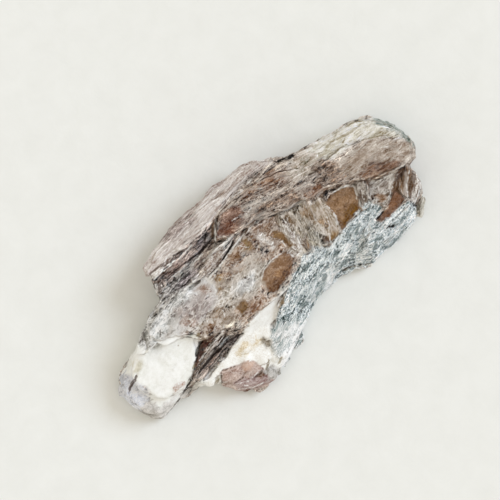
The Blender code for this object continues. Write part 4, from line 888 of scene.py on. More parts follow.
# Painted lines by kind. The dark ones, and the brown ones along seams under sheet edges, are painted shade.
LINES = {
    "grey": strokes("""0.16 -28,3.4 -26.4,3.1 -25.2,2.8; 0.14 -25,3 -23.6,2.7 -22,3.1; 0.14 -23,4.6 -21,4.2
        -19.4,4.6; 0.16 -26.2,8.5 -24.4,9; 0.14 -23.6,8.7 -21.6,9.3; 0.16 -32.2,3.5 -31.4,4.8 -31,6.2
        -30.4,7.2; 0.13 -31.2,3.8 -30.7,5 -30.3,6.4; 0.12 -43.2,1.2 -42,1.3; 0.12 -40.4,-5.7 -39.2,-5.8;
        0.15 -39.3,-8.3 -38.5,-8.8; 0.12 -43.8,-6 -42.4,-7.8 -41.4,-8.8; 0.15 -42,-9.9 -40.6,-10.6
        -38.6,-10.8 -36.5,-10.4; 0.1 -10.4,-20.6 -7.4,-20 -4.2,-18.6; 0.1 -8.6,-18.6 -4.4,-17.6 -1.6,-17.1;
        0.1 0.2,-16.4 2,-15.7 3.8,-15.2; 0.1 -10,-14.8 -6,-15.8 -3.8,-17; 0.1 13.2,-11.2 15.6,-10.4
        17.6,-9.6; 0.12 20.8,-11.6 22.4,-10.9 24.6,-10.2; 0.12 29.5,-12.9 31.6,-13.2; 0.1 30,-11.9 33,-11.6
        36,-11.4; 0.14 25.6,-14.3 26.8,-14.3; 0.12 -17,-18 -15.4,-17.8; 0.14 -15.6,-20.6 -14.6,-21; 0.14
        -15.2,-19.4 -14.2,-18.6; 0.12 4.6,9 6.6,8.9 8.2,8.5; 0.1 31.6,-2.9 33.4,-3.2 35.4,-3.4; 0.2 -24.6,10
        -22.4,10.5 -20.8,10.9; 0.16 39.6,10.9 41.4,9.6 43,7.6 44.6,5"""),
    "teal": strokes("""0.5 7.2,-6.9 7.9,-6.5 8.8,-6.3; 0.2 5.8,-6.1 6.6,-5.4; 0.4 1.2,-12.5 2.6,-12.9; 0.22
        1.3,-11.7 2.1,-11.1 2.8,-10.6; 0.46 9.2,-11.4 10.2,-10.9; 0.4 14.6,-8.8 16.2,-8.6; 0.18 14.4,-9.9
        15.4,-9.9; 0.38 22.2,-8.2 22.9,-7.4 23.6,-7.2; 0.2 21.6,-9 22,-8.6; 0.4 24.2,-12.5 25.6,-12.9; 0.22
        24.2,-15.5 26.2,-15.9 28.4,-15.7; 0.14 28.4,-15.7 31,-15.3; 0.22 1,-9.4 2,-8.2; 0.18 8,-9.4
        9.6,-8.8; 0.18 19.2,-8.2 20.2,-7.6; 0.18 26.2,-8.2 27.4,-7.4; 0.16 3.6,-12.4 4.6,-12; 0.16 11.2,-9.8
        12.4,-9.4; 0.18 13.6,-12.1 14.6,-11.8; 0.16 17.6,-12.2 18.6,-11.4; 0.2 22.6,-13.8 23.8,-13.2; 0.16
        30.4,-12.6 32.4,-12.8; 0.16 -2.4,-14.9 -0.8,-14.1; 0.16 5.2,-13.3 6.4,-12.9 7.6,-12.6; 0.16 42.2,7.6
        43.2,6.4; 0.14 44.4,2 44.9,0.6; 0.14 45.4,1.8 45.8,0; 0.2 13,-7.4 14.4,-7; 0.18 10.2,-7.2 11.4,-6.6;
        0.2 27.4,-6.2 28.4,-5.6"""),
    "stain": strokes("""0.2 31,11.6 33,10.8 35.2,10.2 37.4,9.9 39.4,9.9; 0.2 30.2,8.6 32.6,9.1 34.2,9.8;
        0.16 36.4,11.7 38.8,11.2 40.2,10.2; 0.22 -26,-12.9 -24.4,-12.7; 0.2 -14.8,-18.2 -13.8,-17.7
        -12.8,-17; 0.2 -11.9,-19.3 -11,-18.9 -10.2,-18.5; 0.14 -11,-7.9 -9.8,-6.7; 0.18 -27.4,-6.7
        -26.2,-6.2; 0.14 41.6,4.6 39.6,5.4 36.8,7; 0.14 -30.4,-10.4 -29.2,-10.8; 0.12 -26.4,-0.6 -26,-0.2;
        0.26 -21.4,-1.6 -20.8,-1.6; 0.18 14.4,-13.1 15.8,-13.4 17,-14.2 18.4,-15.2 19.8,-15.8; 0.14 0.9,5.6
        1.3,7.2 1.1,8; 0.16 3,3.6 3.4,4.8; 0.14 26.2,7.9 24.8,8.6"""),
    # Brown veins; those along the seams under sheet edges are painted shade as well.
    "brown": strokes("""0.16 9.6,-4.1 11,-4.5 12.6,-4.1; 0.2 25.6,2.6 26.8,2.3; 0.16 28,1.5 29.6,0.8; 0.24
        34.6,-1.5 36.4,-2.1 37.6,-2.7 39.4,-3.3; 0.18 31,-0.4 32.6,-1.1 34.4,-1.7; 0.16 2.2,17.2 4.4,17.6
        8.2,17.5; 0.18 11,17.2 13,16.9 14.6,16.8; 0.24 -20,16.3 -17,16.1 -14.6,15.9; 0.14 -16.6,15.6
        -14.6,15.3; 0.14 -13.6,16 -12.4,15.7 -10.8,15.5; 0.16 -18.6,14.6 -16.4,14.5 -14.6,14.2; 0.42
        -21.1,11.4 -20.3,12.8 -19.7,13.6; 0.12 -10.6,6.9 -8,7.2 -5.4,7.6; 0.16 5.2,8.5 6.6,8.4 8,8.2; 0.26
        12.2,7.8 13.6,6.9; 0.24 -26.2,-6.3 -24.8,-5.4 -22.8,-4.2 -20.8,-3.9 -18.8,-3.9; 0.16 -28.8,-8 -26,-7
        -23.2,-6.7 -20.8,-6.5; 0.12 -16.4,-5.8 -15.2,-5.4 -14.2,-5.3; 0.14 29.8,-8.7 31.4,-8.3 33.2,-7.2
        35,-6.2; 0.12 37.2,-11.4 38.8,-10.6 40.8,-9; 0.1 38.2,-11.6 40,-10.5; 0.14 36,-15.1 37,-14 38.4,-13;
        0.14 -24.4,-13.6 -23.6,-12.2 -22.8,-11.7; 0.16 -22.6,-11.6 -21.2,-12.2 -19.8,-12.8; 0.16 -22.2,-15.7
        -20.8,-15.9 -19.6,-16.2; 0.36 -41.8,-0.6 -40.4,0.1 -39.2,0.4; 0.13 -42.6,-1.2 -41.8,-0.6; 0.26
        -39.2,0.4 -38.2,0.9; 0.12 -18.4,0.4 -17.2,0.9 -16,0.8; 0.14 26.6,-4.4 27.3,-2.6 28.2,-0.8; 0.12
        27.2,-4.8 28,-3 28.9,-1.2; 0.15 28.2,-5 28.9,-3.6 29.8,-2; 0.12 -11.2,-7.6 -10.4,-7 -9.8,-6.6; 0.14
        26.2,8.2 27.6,6.6; 0.12 23.8,9.8 25.6,9; 0.1 -20.6,0 -21.2,1.6 -20.8,3.2; 0.1 -22.6,-1 -22.2,0.4
        -22.8,1.8; 0.14 15,-5.4 15.4,-3.6; 0.12 -6.2,19.9 -4.2,19.8 -2.6,19.9"""),
    "veil": strokes("""0.5 -10.6,6.8 -10.2,4.4 -8,2.6 -4,1.8 -0.6,1.9; 0.4 -7.6,6.6 -6.2,5.8 -5.4,4.2 -3,3.6
        0.4,3.2 2.2,2.6; 0.24 4,8.2 4.6,6.4 5.6,3.8 6.6,2.4; 0.25 -1.4,5.6 0.2,5.4 1.4,4.6; 0.4 -10.6,-1.2
        -9,-1.6 -7,-2.4 -4.6,-3.4; 0.3 -3.2,-1.4 -1.8,-2.6 -2.4,-4.4; 0.35 5.2,15.8 6.2,13.8 8,12.8 10.6,12;
        0.35 4.6,12.2 6,11.4 9,11.6 12,11 15.6,10.4; 0.3 9.8,16.2 12,14.6 12.6,13; 0.35 16.4,13.8 19.4,11.8
        22.4,9.8 24,8; 0.3 18,8.6 20.4,7.8 23.4,8.2; 0.24 6.8,9.4 9.6,8.4 11.6,7.2 13.6,6.5 16.4,5.9
        18.2,5.3; 0.35 5,10.4 7.4,10.2 9,9.4; 0.3 33.6,-4.9 31.4,-3.6 29.6,-4.2; 0.3 36.2,-9.4 37.8,-7.4
        39.6,-5.6"""),
    "bright": strokes("""0.16 -10.4,6.6 -7.4,6.9 -5,7.4 -1.6,8.4; 0.22 -0.2,15.8 -2,13.9 -3.6,12.1; 0.18
        -2.6,7.9 0,8.45 2,8.75 3.6,8.8; 0.2 -18.4,8.3 -16,8.35 -13.4,8.2; 0.12 -20.4,15.3 -18,15.35
        -15.4,15.1 -13.8,14.85; 0.12 -20.2,14.75 -17.6,14.85 -15.4,14.6; 0.12 -6.6,10.5 -4.6,10.6 -2.6,10.3
        -0.6,10.35; 0.12 24,2.35 26,1.95 27.6,1.3 28.5,0.5"""),
    "white": strokes("""0.16 16.3,5.9 17.2,5.6 18,5.4; 0.12 17.8,3.9 19.2,3.4 20.8,3.4; 0.14 14,6.2 15.6,6.3
        16.4,6; 0.13 11.2,7.2 12.4,6.7 13.6,6.4; 0.14 24.4,2.2 26,1.9 27.6,1.2 28.5,0.3; 0.15 28.5,0.2
        27.9,-1.3 27.2,-2.8 26.7,-4.1; 0.14 20.9,1 21.1,-0.6 20.8,-2.4 19.9,-3.8; 0.12 27.6,-4.9 28.4,-3.2
        29.2,-1.6; 0.15 29.4,-4.2 30,-3.9 30.8,-3.4; 0.22 -8,6.8 -5,7.2 -3,7.6; 0.26 -2.6,7.8 0,8.4 2,8.7
        4.2,8.9; 0.14 0.2,15.9 1.4,16.8; 0.22 -18.4,8.3 -16,8.35 -13.4,8.2; 0.18 -25.2,9.2 -23.4,9
        -22.2,8.6; 0.14 -23.2,9.5 -21,9.6; 0.2 -14,4.2 -13,3.3 -12,2.7; 0.16 -15.2,5.8 -14,4.9; 0.22 -11,7
        -10.8,4.6 -11.4,3.2; 0.12 4.8,6.2 5,4 5.4,2.2; 0.1 -1.7,-1.6 0.2,-0.4 3,0.1 5.8,-0.2 7.3,-1.4
        7.4,-2.8; 0.08 -10.4,-2.6 -8.8,-2.2 -7.2,-3.2; 0.08 -9,6.4 -8.2,4.6 -6.6,3.4 -4.6,2.8; 0.08 -5.2,7
        -4.6,5.2 -2.6,4.2 -0.4,4.4; 0.08 -0.4,7.9 0.6,6.2 2.2,5.2 3.2,3.6; 0.08 -2.8,-5.4 -3.6,-3.8
        -2.6,-2.4; 0.08 -15.6,-4.2 -13.6,-2.6 -12.8,-0.6; 0.08 -14.4,-4.6 -11.6,-3.6 -10.6,-2; 0.08
        -26.8,6.6 -25,7.6 -22.6,7.8; 0.08 -20.4,6.4 -18.8,7.4 -16.6,7.8; 0.1 6.4,4.2 7.2,2.8 7.8,1.8; 0.16
        7.9,1.8 7.7,0.6 7.8,-0.6; 0.12 7.6,-1 8.8,-1 9.4,-0.4; 0.1 12,-0.6 12.8,-1.8 13.4,-3.4; 0.1 11,5.2
        12.4,1.8 12.9,-0.2; 0.1 17.2,2 16.6,-0.4; 0.1 19.2,-0.8 18.4,-2.8 17,-4 16.2,-5.6; 0.1 -16.4,-0.2
        -16.8,-2.2 -17.4,-3.6; 0.1 -18,-1 -16.2,0; 0.12 -21.4,-0.8 -20,-0.3 -19,0; 0.12 -22.4,0 -21.4,1.4
        -21,3.4; 0.1 -19.8,0 -20.2,2 -19.6,3.8; 0.16 -20.2,14.9 -17.6,15 -15,14.7; 0.14 -20.4,15.4 -18,15.4
        -15.4,15.1 -13.6,14.8; 0.13 -17,12.5 -14,12.2 -12,12.5; 0.14 -13,14.5 -10.6,14.7 -8.4,14.9; 0.14
        -18.4,11.3 -16,11.9 -14,11.7; 0.16 -9,10.4 -6,10.4 -4,10.7; 0.16 -5.4,10 -2.4,10.1 0,10.2; 0.12
        -12.4,11.2 -10,11.6 -7.2,11.7; 0.1 22,10.9 24.6,10.2; 0.12 5.6,11.8 8.6,12.4 12,11.6; 0.1 30.6,8.2
        33,8.6 34.2,9.6; 0.12 26,12.9 29,12.6 32.4,12.3; 0.18 36.6,-2.9 38.6,-3.4 40.2,-3.8; 0.12 32.8,-2.5
        34.6,-2.9 36,-3.2; 0.12 32.6,-7.4 34.4,-6.2 36,-5.4; 0.12 36.4,-9.8 37.6,-8 39.2,-6.6 40.6,-5.6; 0.1
        36,-8 36.8,-6.6 37.8,-5.6; 0.14 37.4,-10.8 39,-9.8 40.8,-8.4; 0.14 36.8,-12 38.6,-11.2 40,-10; 0.2
        -19.4,-7 -18.6,-7.1; 0.14 -18.6,-6.8 -16.6,-6.5 -15,-6.6; 0.14 -24.8,-6.3 -21,-5.5 -17,-5
        -15.8,-4.6; 0.1 -22.2,-16.2 -19.6,-17.6 -16.2,-17.4; 0.1 -19.4,-15.4 -19.2,-16.4 -18.4,-17.3; 0.1
        -23.4,-17 -20,-19.4 -16.6,-20.6; 0.16 -21,-17.8 -20.4,-18.2; 0.16 4,16.9 6,17 8.8,16.6; 0.2
        10.2,17.1 12,17; 0.1 -6,19.9 0,20.1 5,20.3; 0.1 -14,17.6 -8,17.8 -2,17.9; 0.1 2.2,13 3.8,12.6; 0.1
        6,13.6 7.4,14.8; 0.1 41.2,6.2 43.4,4.2 44.6,2; 0.13 28.4,-8.3 30,-7.8 31,-7.9"""),
    # Painted shade: the black of cracks, clefts and the seams under overhanging sheet edges.
    "dark": strokes("""0.11 -10.6,7 -7.6,7.3 -5.2,7.8; 0.2 22.7,3.6 23.6,3 24.8,2.6; 0.1 24.8,2.6 26,2.3;
        0.1 28.8,1 29.8,0.5; 0.3 -26,-8 -22,-7.6 -18,-7.3 -14.4,-7.8; 0.2 37.8,-3.9 39.2,-3.9 40.4,-4.1; 0.2
        8.2,17.5 10.2,17.7 12.4,18; 0.18 19.4,16.3 21.2,15.6 22.8,15.1; 0.12 25.4,14.7 28,14.3; 0.16
        -18.2,13.2 -14.6,13.1 -11.4,12.7; 0.3 -11.4,12.7 -9.6,12.6; 0.16 -9.6,12.6 -8.2,12.5; 0.34 -8.2,12.4
        -6.6,12.5 -5,12.8; 0.18 -5,12.8 -3.2,13.1; 0.3 -18,11.6 -16.4,11.8; 0.18 -13.2,15.9 -12,15.6
        -10.6,15.4; 0.14 -8.6,15.3 -6.4,15.3 -4.2,15.1; 0.13 -19.8,12 -19.2,13.2 -18.8,13.8; 0.2 -3.6,11.5
        -2.8,11.2; 0.18 -2.4,10.7 -1.4,10.3; 0.16 -5.4,7.6 -3.4,8.2; 0.28 -3.4,8.2 -1.6,8.8 -0.8,9.2; 0.22
        -0.4,9.8 0.9,10; 0.13 0.8,9.6 2.4,9.7 3.4,9.4; 0.12 -22.8,8 -21.2,8.2 -20.2,8.4; 0.14 -17.4,9.3
        -15.4,9.1 -14.2,9.3; 0.14 9.2,8.1 10.2,7.5 11,7; 0.14 14.2,6 15.4,5.7 16.2,5.2; 0.14 -36.5,-10.3
        -34.6,-10 -33,-9.5; 0.26 -33,-9.5 -31,-8.9 -28.8,-8.3; 0.18 -20.8,-6.5 -19,-6.5 -17.4,-6.1
        -16.4,-5.8; 0.16 -26,-8.2 -24.6,-7.9 -22.6,-7.6; 0.2 -22.6,-7.6 -20.6,-7.5 -19.2,-7.4; 0.16
        -18.6,-7.5 -16.8,-7.3 -15.4,-7.5 -13.9,-7.9; 0.2 -25.6,-5.9 -24.4,-5.1 -23.4,-4.6; 0.12 -25.6,-9
        -23,-8.8 -21,-8.5; 0.24 26.5,-9 28.2,-9 29.8,-8.7; 0.2 36.1,-11 36.3,-12 36.9,-13.2; 0.24 27.5,-11.8
        28.4,-12.1 29.5,-12.9; 0.16 13.8,-12.9 15.6,-13.2 16.8,-13.8; 0.16 17.6,-14.4 18.4,-15; 0.16
        18.8,-15.4 19.8,-15.6; 0.1 2.6,12.8 3,12.3 2.4,11.7"""),
}
# Colour and strength of each kind of line, and where its ragged border lies.
LINE_LOOKS = {
    "grey": ((126, 121, 112), 0.65, -0.10, 0.10),
    "teal": ((92, 107, 106), 0.75, -0.16, 0.08),
    "stain": ((138, 120, 82), 0.70, -0.14, 0.12),
    # Brown veins, partly painted shade along seams.
    "brown": ((78, 56, 42), 0.85, -0.07, 0.10),
    "white": ((234, 232, 228), 0.85, -0.10, 0.08),
    "bright": ((250, 249, 246), 1.0, -0.08, 0.08),
    # Painted shade of cracks and clefts.
    "dark": ((40, 29, 24), 1.0, -0.05, 0.10),
    "veil": ((208, 199, 190), 0.62, -0.45, 0.40),
}
# Cracks deeper than this also get painted shade, as dark lines over this share of their width.
CRACK_SHADE_DEPTH = 0.55
CRACK_SHADE_SHARE = 0.35
# What the lamps of this scene give back of a white surface.
LIGHT_LEVEL = 0.98
# How far the patches wander and shrink on the sides, in millimetres, and how ragged their borders are.
SIDE_DRIFT = 5.0
SIDE_INSET = 1.2
SIDE_NORMALS = (0.2, 0.7)
DRIFT_SCALE = (0.12, 0.12, 0.42)
WOBBLE = 1.6
WOBBLE_SCALE = (0.45, 0.7, 0.5)
WOBBLE_FINE = (1.3, 1.9, 1.5)
TOP_NORMALS = (0.35, 0.75)
# How far the open sheets differ in tone, and the bend in millimetres that counts as a full edge.
TERRACE_CONTRAST = 0.35
SHARP_BEND = 0.035
# Turns a whole number into a scattered one.
SCATTER = 12.9898
# The last three columns of a spread; the first three are read as one vector.
SPECKS, GRIT, ROUGHNESS = 3, 4, 5


def linear(colour):
    """A colour from 0 to 255 as light, scaled to what the lamps give back."""
    part = np.array(colour, dtype=float) / 255.0
    light = np.where(part <= 0.04045, part / 12.92, ((part + 0.055) / 1.055) ** 2.4)
    return light / LIGHT_LEVEL


def shades(tone):
    """The dark, middle and light shade of a tone as light."""
    return np.array([linear(shade) for shade in xy(TONES[tone])])


def painted(places, normals):
    """The spread tones of every place, and its share of each spread, from the patches one over another."""
    side = 1.0 - smooth_step(normals[:, 2], *SIDE_NORMALS)
    drift = np.column_stack([rough_noise(places * DRIFT_SCALE, seed) for seed in (221, 225)])
    outwards = normals[:, :2] / np.maximum(np.hypot(normals[:, 0], normals[:, 1]), 0.05)[:, None]
    along = drift - outwards * (drift * outwards).sum(axis=1)[:, None]
    flat = places[:, :2] + side[:, None] * (SIDE_DRIFT * along - SIDE_INSET * outwards)
    broad = rough_noise(places * WOBBLE_SCALE, 201)
    fine = rough_noise(places * WOBBLE_FINE, 211)
    wobble = 0.55 * broad + 0.45 * fine
    tones = np.tile(shades("base"), (len(flat), 1, 1))
    spread = np.tile(np.array(SPREADS["streaked"]), (len(flat), 1))
    for tone, kind, softness, reach, outline in PATCHES:
        inside = depth_inside(flat, xy(outline)) + reach * WOBBLE * wobble
        share = smooth_step(inside, -0.5 * softness, 0.5 * softness)
        tones += share[:, None, None] * (shades(tone) - tones)
        spread += share[:, None] * (np.array(SPREADS[kind]) - spread)
    return tones, spread


def line_depth(flat, lines, wobble):
    """How far inside a painted line each place is, negative outside, in millimetres."""
    depth = np.full(len(flat), -1.0)
    for half_width, line in lines:
        depth = np.maximum(depth, half_width * (1.0 + 0.5 * wobble) - distance_to_line(flat, line))
    return depth


def curvature(mesh, places, normals, rounds):
    """Positive on ridges and edges, negative in hollows, averaged over some rounds of neighbours."""
    around = averaged(mesh, len(places))
    middle = np.column_stack([around(places[:, axis]) for axis in range(3)])
    bend = np.einsum("ij,ij->i", places - middle, normals)
    for _ in range(rounds):
        bend = 0.5 * bend + 0.5 * around(bend)
    return bend


def add_values(mesh, name, values):
    kind, field = ("FLOAT", "value") if values.ndim == 1 else ("FLOAT_VECTOR", "vector")
    mesh.attributes.new(name, kind, "POINT").data.foreach_set(field, values.ravel())


def paint(mesh, grain=None, edge=None, lift=0.0):
    """Gives the mesh what its material reads: tones, spreads, grain coordinates, lines, edges and hollows.

    The flakes bring their own grain, edge and lift, and their tops show no side layers.
    """
    places, normals = corners_of(mesh), normals_of(mesh)
    flat = places[:, :2]
    tones, spread = painted(places, normals)
    up = smooth_step(normals[:, 2], *TOP_NORMALS)
    if grain is None:
        grain = grain_coordinates(places)
        level = TERRACE_CONTRAST * terrace_tone(grain)
    else:
        level = np.full(len(places), lift)
        up = np.where(normals[:, 2] > 0.0, 1.0, up)
    if edge is None:
        edge = curvature(mesh, places, normals, 2) / SHARP_BEND
    wobble = rough_noise(places * (1.4, 1.4, 1.0), 231)
    # The deeper cracks get painted shade, drawn with the dark lines.
    cracks = [(half_width * CRACK_SHADE_SHARE, line) for line, depth, half_width in CRACKS
              if depth > CRACK_SHADE_DEPTH]
    for name, column in (("tone_dark", 0), ("tone_middle", 1), ("tone_light", 2)):
        add_values(mesh, name, tones[:, column])
    add_values(mesh, "spread", spread[:, :3])
    add_values(mesh, "specks", spread[:, SPECKS])
    add_values(mesh, "grit", spread[:, GRIT])
    add_values(mesh, "roughness", spread[:, ROUGHNESS])
    add_values(mesh, "grain", grain)
    add_values(mesh, "place", places)
    add_values(mesh, "level", level)
    add_values(mesh, "edge", edge)
    add_values(mesh, "up", up)
    for kind, lines in LINES.items():
        held = lines + cracks if kind == "dark" else lines
        add_values(mesh, kind + "_line", line_depth(flat, held, wobble))


def terrace_tone(grain):
    """A tone for each open sheet, -1 to 1, so that steps part lighter and darker sheets."""
    number = np.floor(terrace_levels(grain, *SHEET_TERRACES) + 0.5)
    return np.sin(number * SCATTER + 4.1)


# ---------------------------------------------------------------- loose cleavage flakes
# Where they lie: outline, how many, length and width in millimetres, how far the free edge stands up.
FLAKE_BEDS = [
    (UPPER_FOOT, 120, (4.0, 12.0), (0.8, 2.2), 0.22), (PINK_BLADE, 50, (5.0, 13.0), (0.7, 1.6), 0.20),
    (CENTRE, 120, (2.0, 6.5), (1.2, 3.2), 0.22), (FLANK_FOOT, 130, (1.6, 5.0), (0.5, 1.3), 0.25),
    (THICK_END_FOOT, 60, (1.6, 5.0), (0.6, 1.6), 0.25), (RADIAL_PLATE, 40, (2.0, 5.5), (0.6, 1.5), 0.22),
    (BODY, 60, (2.0, 6.0), (0.8, 2.2), 0.25),
]
BARE_BEDS = [
    xy("-39.8,0.6 -39.2,-3.6 -38.4,-7 -31.6,-8.8 -25.6,-5.6 -22,-3 -24.4,0.8 -31.6,3.4 -37.6,5"),
    xy("20.9,1.6 26,1.8 28.4,0.4 26.7,-4.2 19.8,-5.3"),
    xy("-1.6,-2 3,-0.1 7.3,-1.7 5.4,-4.4 -0.8,-6"),
    xy("28.5,-10.6 30.2,-8.7 35.8,-5.8 36.1,-10"),
    xy("-28,-10.6 -16,-9.6 -2,-8 -8,-12 -13,-17 -24,-12.4"),
]
FLAKE_THICKNESS = 0.14
FLAKE_LIFT = 0.05
# A flake's sides, how far their corners stray, the length of its torn edge's pieces, and their roughness.
FLAKE_SIDES = (5, 9)
CORNER_STRAY = 0.32
CORNER_REACH = (0.75, 1.1)
PIECE_LENGTH = 0.45
PIECE_STRAY = 0.2
PIECE_ROUGHNESS = 0.05
# How far flakes turn from the grain, lift on one side, dip at an end, and differ in tone.
FLAKE_TURN = 0.10
FLAKE_TILT = (0.6, 1.0)
FLAKE_DIP = 0.06
FLAKE_TONE = 0.14
GRAIN_SHIFT = 40.0
# How far a flake's middle stays from the border of its bed, and the height that rays fall from.
BED_MARGIN = 0.6
CANDIDATES = 8
RAY_HEIGHT = 40.0
# The edge share of a flake's rim and of its middle, which keeps the rim's wear and painted highlight narrow.
RIM_EDGE = 1.0
MIDDLE_EDGE = -8.0
# Flakes lie only where the surface is this even, in millimetres, and no steeper than this.
UNEVEN = 0.55
STEEP = 0.9


def flake_outline(length, width, rng):
    """A torn sheet: few straight sides, long with the grain, with small steps along them."""
    sides = rng.integers(*FLAKE_SIDES)
    angles = (np.arange(sides) + rng.uniform(-CORNER_STRAY, CORNER_STRAY, sides)) * 2 * pi / sides
    reach = rng.uniform(*CORNER_REACH, sides)
    corners = np.column_stack((np.cos(angles) * length / 2, np.sin(angles) * width / 2)) * reach[:, None]
    points = []
    for start, end in zip(corners, np.roll(corners, -1, axis=0)):
        run = end - start
        steps = max(1, int(np.hypot(*run) / PIECE_LENGTH))
        for step in range(steps):
            part = (step + rng.uniform(-PIECE_STRAY, PIECE_STRAY)) / steps if step else 0.0
            points.append(start + run * part + rng.normal(0.0, PIECE_ROUGHNESS, 2) * (step > 0))
    return np.array(points)


def bed_centres(bed, count, rng):
    """Seeded places in a bed, without those where the real piece is bare."""
    low, high = np.min(bed, axis=0), np.max(bed, axis=0)
    places = rng.uniform(low, high, (count * CANDIDATES, 2))
    places = places[depth_inside(places, bed) > BED_MARGIN][:count]
    return places[depth_inside_any(places, BARE_BEDS) < -BED_MARGIN]


def ground_plane(tree, line, centre):
    """The plane through the surface under a line of places, or nothing where the surface is too rough."""
    hits = [tree.ray_cast(Vector((x, y, RAY_HEIGHT)), Vector((0.0, 0.0, -1.0)))[0] for x, y in line]
    if any(hit is None for hit in hits):
        return None
    ground = np.array([hit.z for hit in hits])
    design = np.column_stack((line - centre, np.ones(len(line))))
    plane = np.linalg.lstsq(design, ground, rcond=None)[0]
    if np.abs(ground - design @ plane).max() > UNEVEN or np.hypot(plane[0], plane[1]) > STEEP:
        return None
    return plane


def flake_solid(line, centre, top, middle_height):
    """Corners and faces of a closed thin sheet over its outline, with a corner in the middle of each face."""
    ring = len(line)
    middle = [[*centre, middle_height], [*centre, middle_height - FLAKE_THICKNESS]]
    corners = np.concatenate((
        np.column_stack((line, top - FLAKE_THICKNESS)), np.column_stack((line, top)), middle,
    ))
    faces = [(i, (i + 1) % ring, (i + 1) % ring + ring, i + ring) for i in range(ring)]
    faces += [(i + ring, (i + 1) % ring + ring, 2 * ring) for i in range(ring)]
    faces += [((i + 1) % ring, i, 2 * ring + 1) for i in range(ring)]
    return corners, faces


def flakes_on(tree):
    """One mesh of all the flakes, and for each of its corners the grain, the tone and the edge share."""
    rng = np.random.default_rng(7)
    solids = Solids()
    grains, lifts, edges = [], [], []
    for bed, count, lengths, widths, rise in FLAKE_BEDS:
        centres = bed_centres(bed, count, rng)
        for centre, angle in zip(centres, grain_angles(centres)):
            length, width = rng.uniform(*lengths), rng.uniform(*widths)
            turn = radians(angle) + rng.normal(0.0, FLAKE_TURN)
            outline = flake_outline(length, width, rng)
            line = centre + outline @ np.array(((cos(turn), sin(turn)), (-sin(turn), cos(turn))))
            tilt = rng.uniform(*FLAKE_TILT) * rise * rng.choice((-1.0, 1.0))
            dip = rng.normal(0.0, FLAKE_DIP)
            plane = ground_plane(tree, line, centre)
            if plane is None:
                continue
            free = outline[:, 1] / (width / 2) * tilt + outline[:, 0] / (length / 2) * dip
            top = (line - centre) @ plane[:2] + plane[2] + free + FLAKE_LIFT
            corners, faces = flake_solid(line, centre, top, plane[2] + FLAKE_LIFT)
            solids.add(corners, faces)
            local = np.zeros((len(corners), 3))
            local[:2 * len(line), :2] = np.tile(outline, (2, 1))
            grains.append(local + rng.uniform(-GRAIN_SHIFT, GRAIN_SHIFT, 3))
            lifts.append(np.full(len(local), rng.normal(0.0, FLAKE_TONE)))
            edges.append(np.concatenate((np.full(2 * len(line), RIM_EDGE), [MIDDLE_EDGE, MIDDLE_EDGE])))
    mesh = solids.mesh("flakes")
    return mesh, np.concatenate(grains), np.concatenate(lifts), np.concatenate(edges)


# ---------------------------------------------------------------- the material
class Nodes:
    """Shorter calls for a material's nodes. A value may be a number or another node's output."""

    def __init__(self, material):
        self.tree = material.node_tree
        self.tree.nodes.clear()

    def node(self, kind, inputs=(), **settings):
        made = self.tree.nodes.new(kind)
        for key, value in settings.items():
            setattr(made, key, value)
        for key, value in dict(inputs).items():
            self.put(made.inputs[key], value)
        return made

    def put(self, socket, value):
        if isinstance(value, bpy.types.NodeSocket):
            self.tree.links.new(value, socket)
        else:
            socket.default_value = value

    def attribute(self, name, output="Fac"):
        return self.node("ShaderNodeAttribute", attribute_name=name).outputs[output]

    def math(self, operation, a, b=0.0, c=0.0, clamp=False):
        made = self.node("ShaderNodeMath", {0: a, 1: b, 2: c}, operation=operation, use_clamp=clamp)
        return made.outputs[0]

    def times(self, a, b, clamp=False):
        return self.math("MULTIPLY", a, b, clamp=clamp)

    def plus(self, a, b):
        return self.math("ADD", a, b)

    def minus(self, a, b):
        return self.math("SUBTRACT", a, b)

    def times_plus(self, a, b, c):
        return self.math("MULTIPLY_ADD", a, b, c)

    def most(self, a, b):
        return self.math("MAXIMUM", a, b)

    def least(self, a, b):
        return self.math("MINIMUM", a, b)

    def scaled(self, vector, factors, shift):
        return self.node("ShaderNodeVectorMath", {0: vector, 1: factors, 2: shift},
                         operation="MULTIPLY_ADD").outputs[0]

    def noise(self, vector, factors, detail=3.0, roughness=0.55, distortion=0.0, shift=0.0):
        place = self.scaled(vector, factors, (shift, shift, shift))
        return self.node("ShaderNodeTexNoise", {
            "Vector": place, "Scale": 1.0, "Detail": detail, "Roughness": roughness,
            "Distortion": distortion,
        }).outputs["Fac"]

    def step(self, value, low, high, to_low=0.0, to_high=1.0):
        return self.node("ShaderNodeMapRange", {
            "Value": value, "From Min": low, "From Max": high, "To Min": to_low, "To Max": to_high,
        }, interpolation_type="SMOOTHSTEP").outputs[0]

    def mix(self, factor, a, b, open_ended=False):
        """Both colours by the factor. Open-ended, a factor past 0 or 1 reaches past the colours."""
        made = self.node("ShaderNodeMix", {"Factor": factor}, data_type="RGBA", clamp_factor=not open_ended)
        self.put(made.inputs[6], a)
        self.put(made.inputs[7], b)
        return made.outputs[2]


def rgba(colour):
    return (*linear(colour), 1.0)


# Noises of the stone: their vector, cells per millimetre on its axes, detail, roughness, distortion, shift.
NOISES = {
    "broad": ("grain", (0.08, 0.50, 0.50), 3.0, 0.6, 0.3, 0.0),
    "fine": ("grain", (0.20, 1.20, 1.20), 3.0, 0.65, 0.4, 7.0),
    "hair": ("grain", (0.26, 2.90, 2.90), 3.0, 0.65, 0.3, 13.0),
    "blotch": ("place", (0.38, 0.5, 0.5), 4.0, 0.65, 0.6, 3.0),
    "grit": ("place", (3.0, 3.6, 3.6), 3.0, 0.7, 0.3, 5.0),
    "sheets": ("grain", (0.10, 0.35, 3.0), 3.0, 0.7, 0.4, 17.0),
}
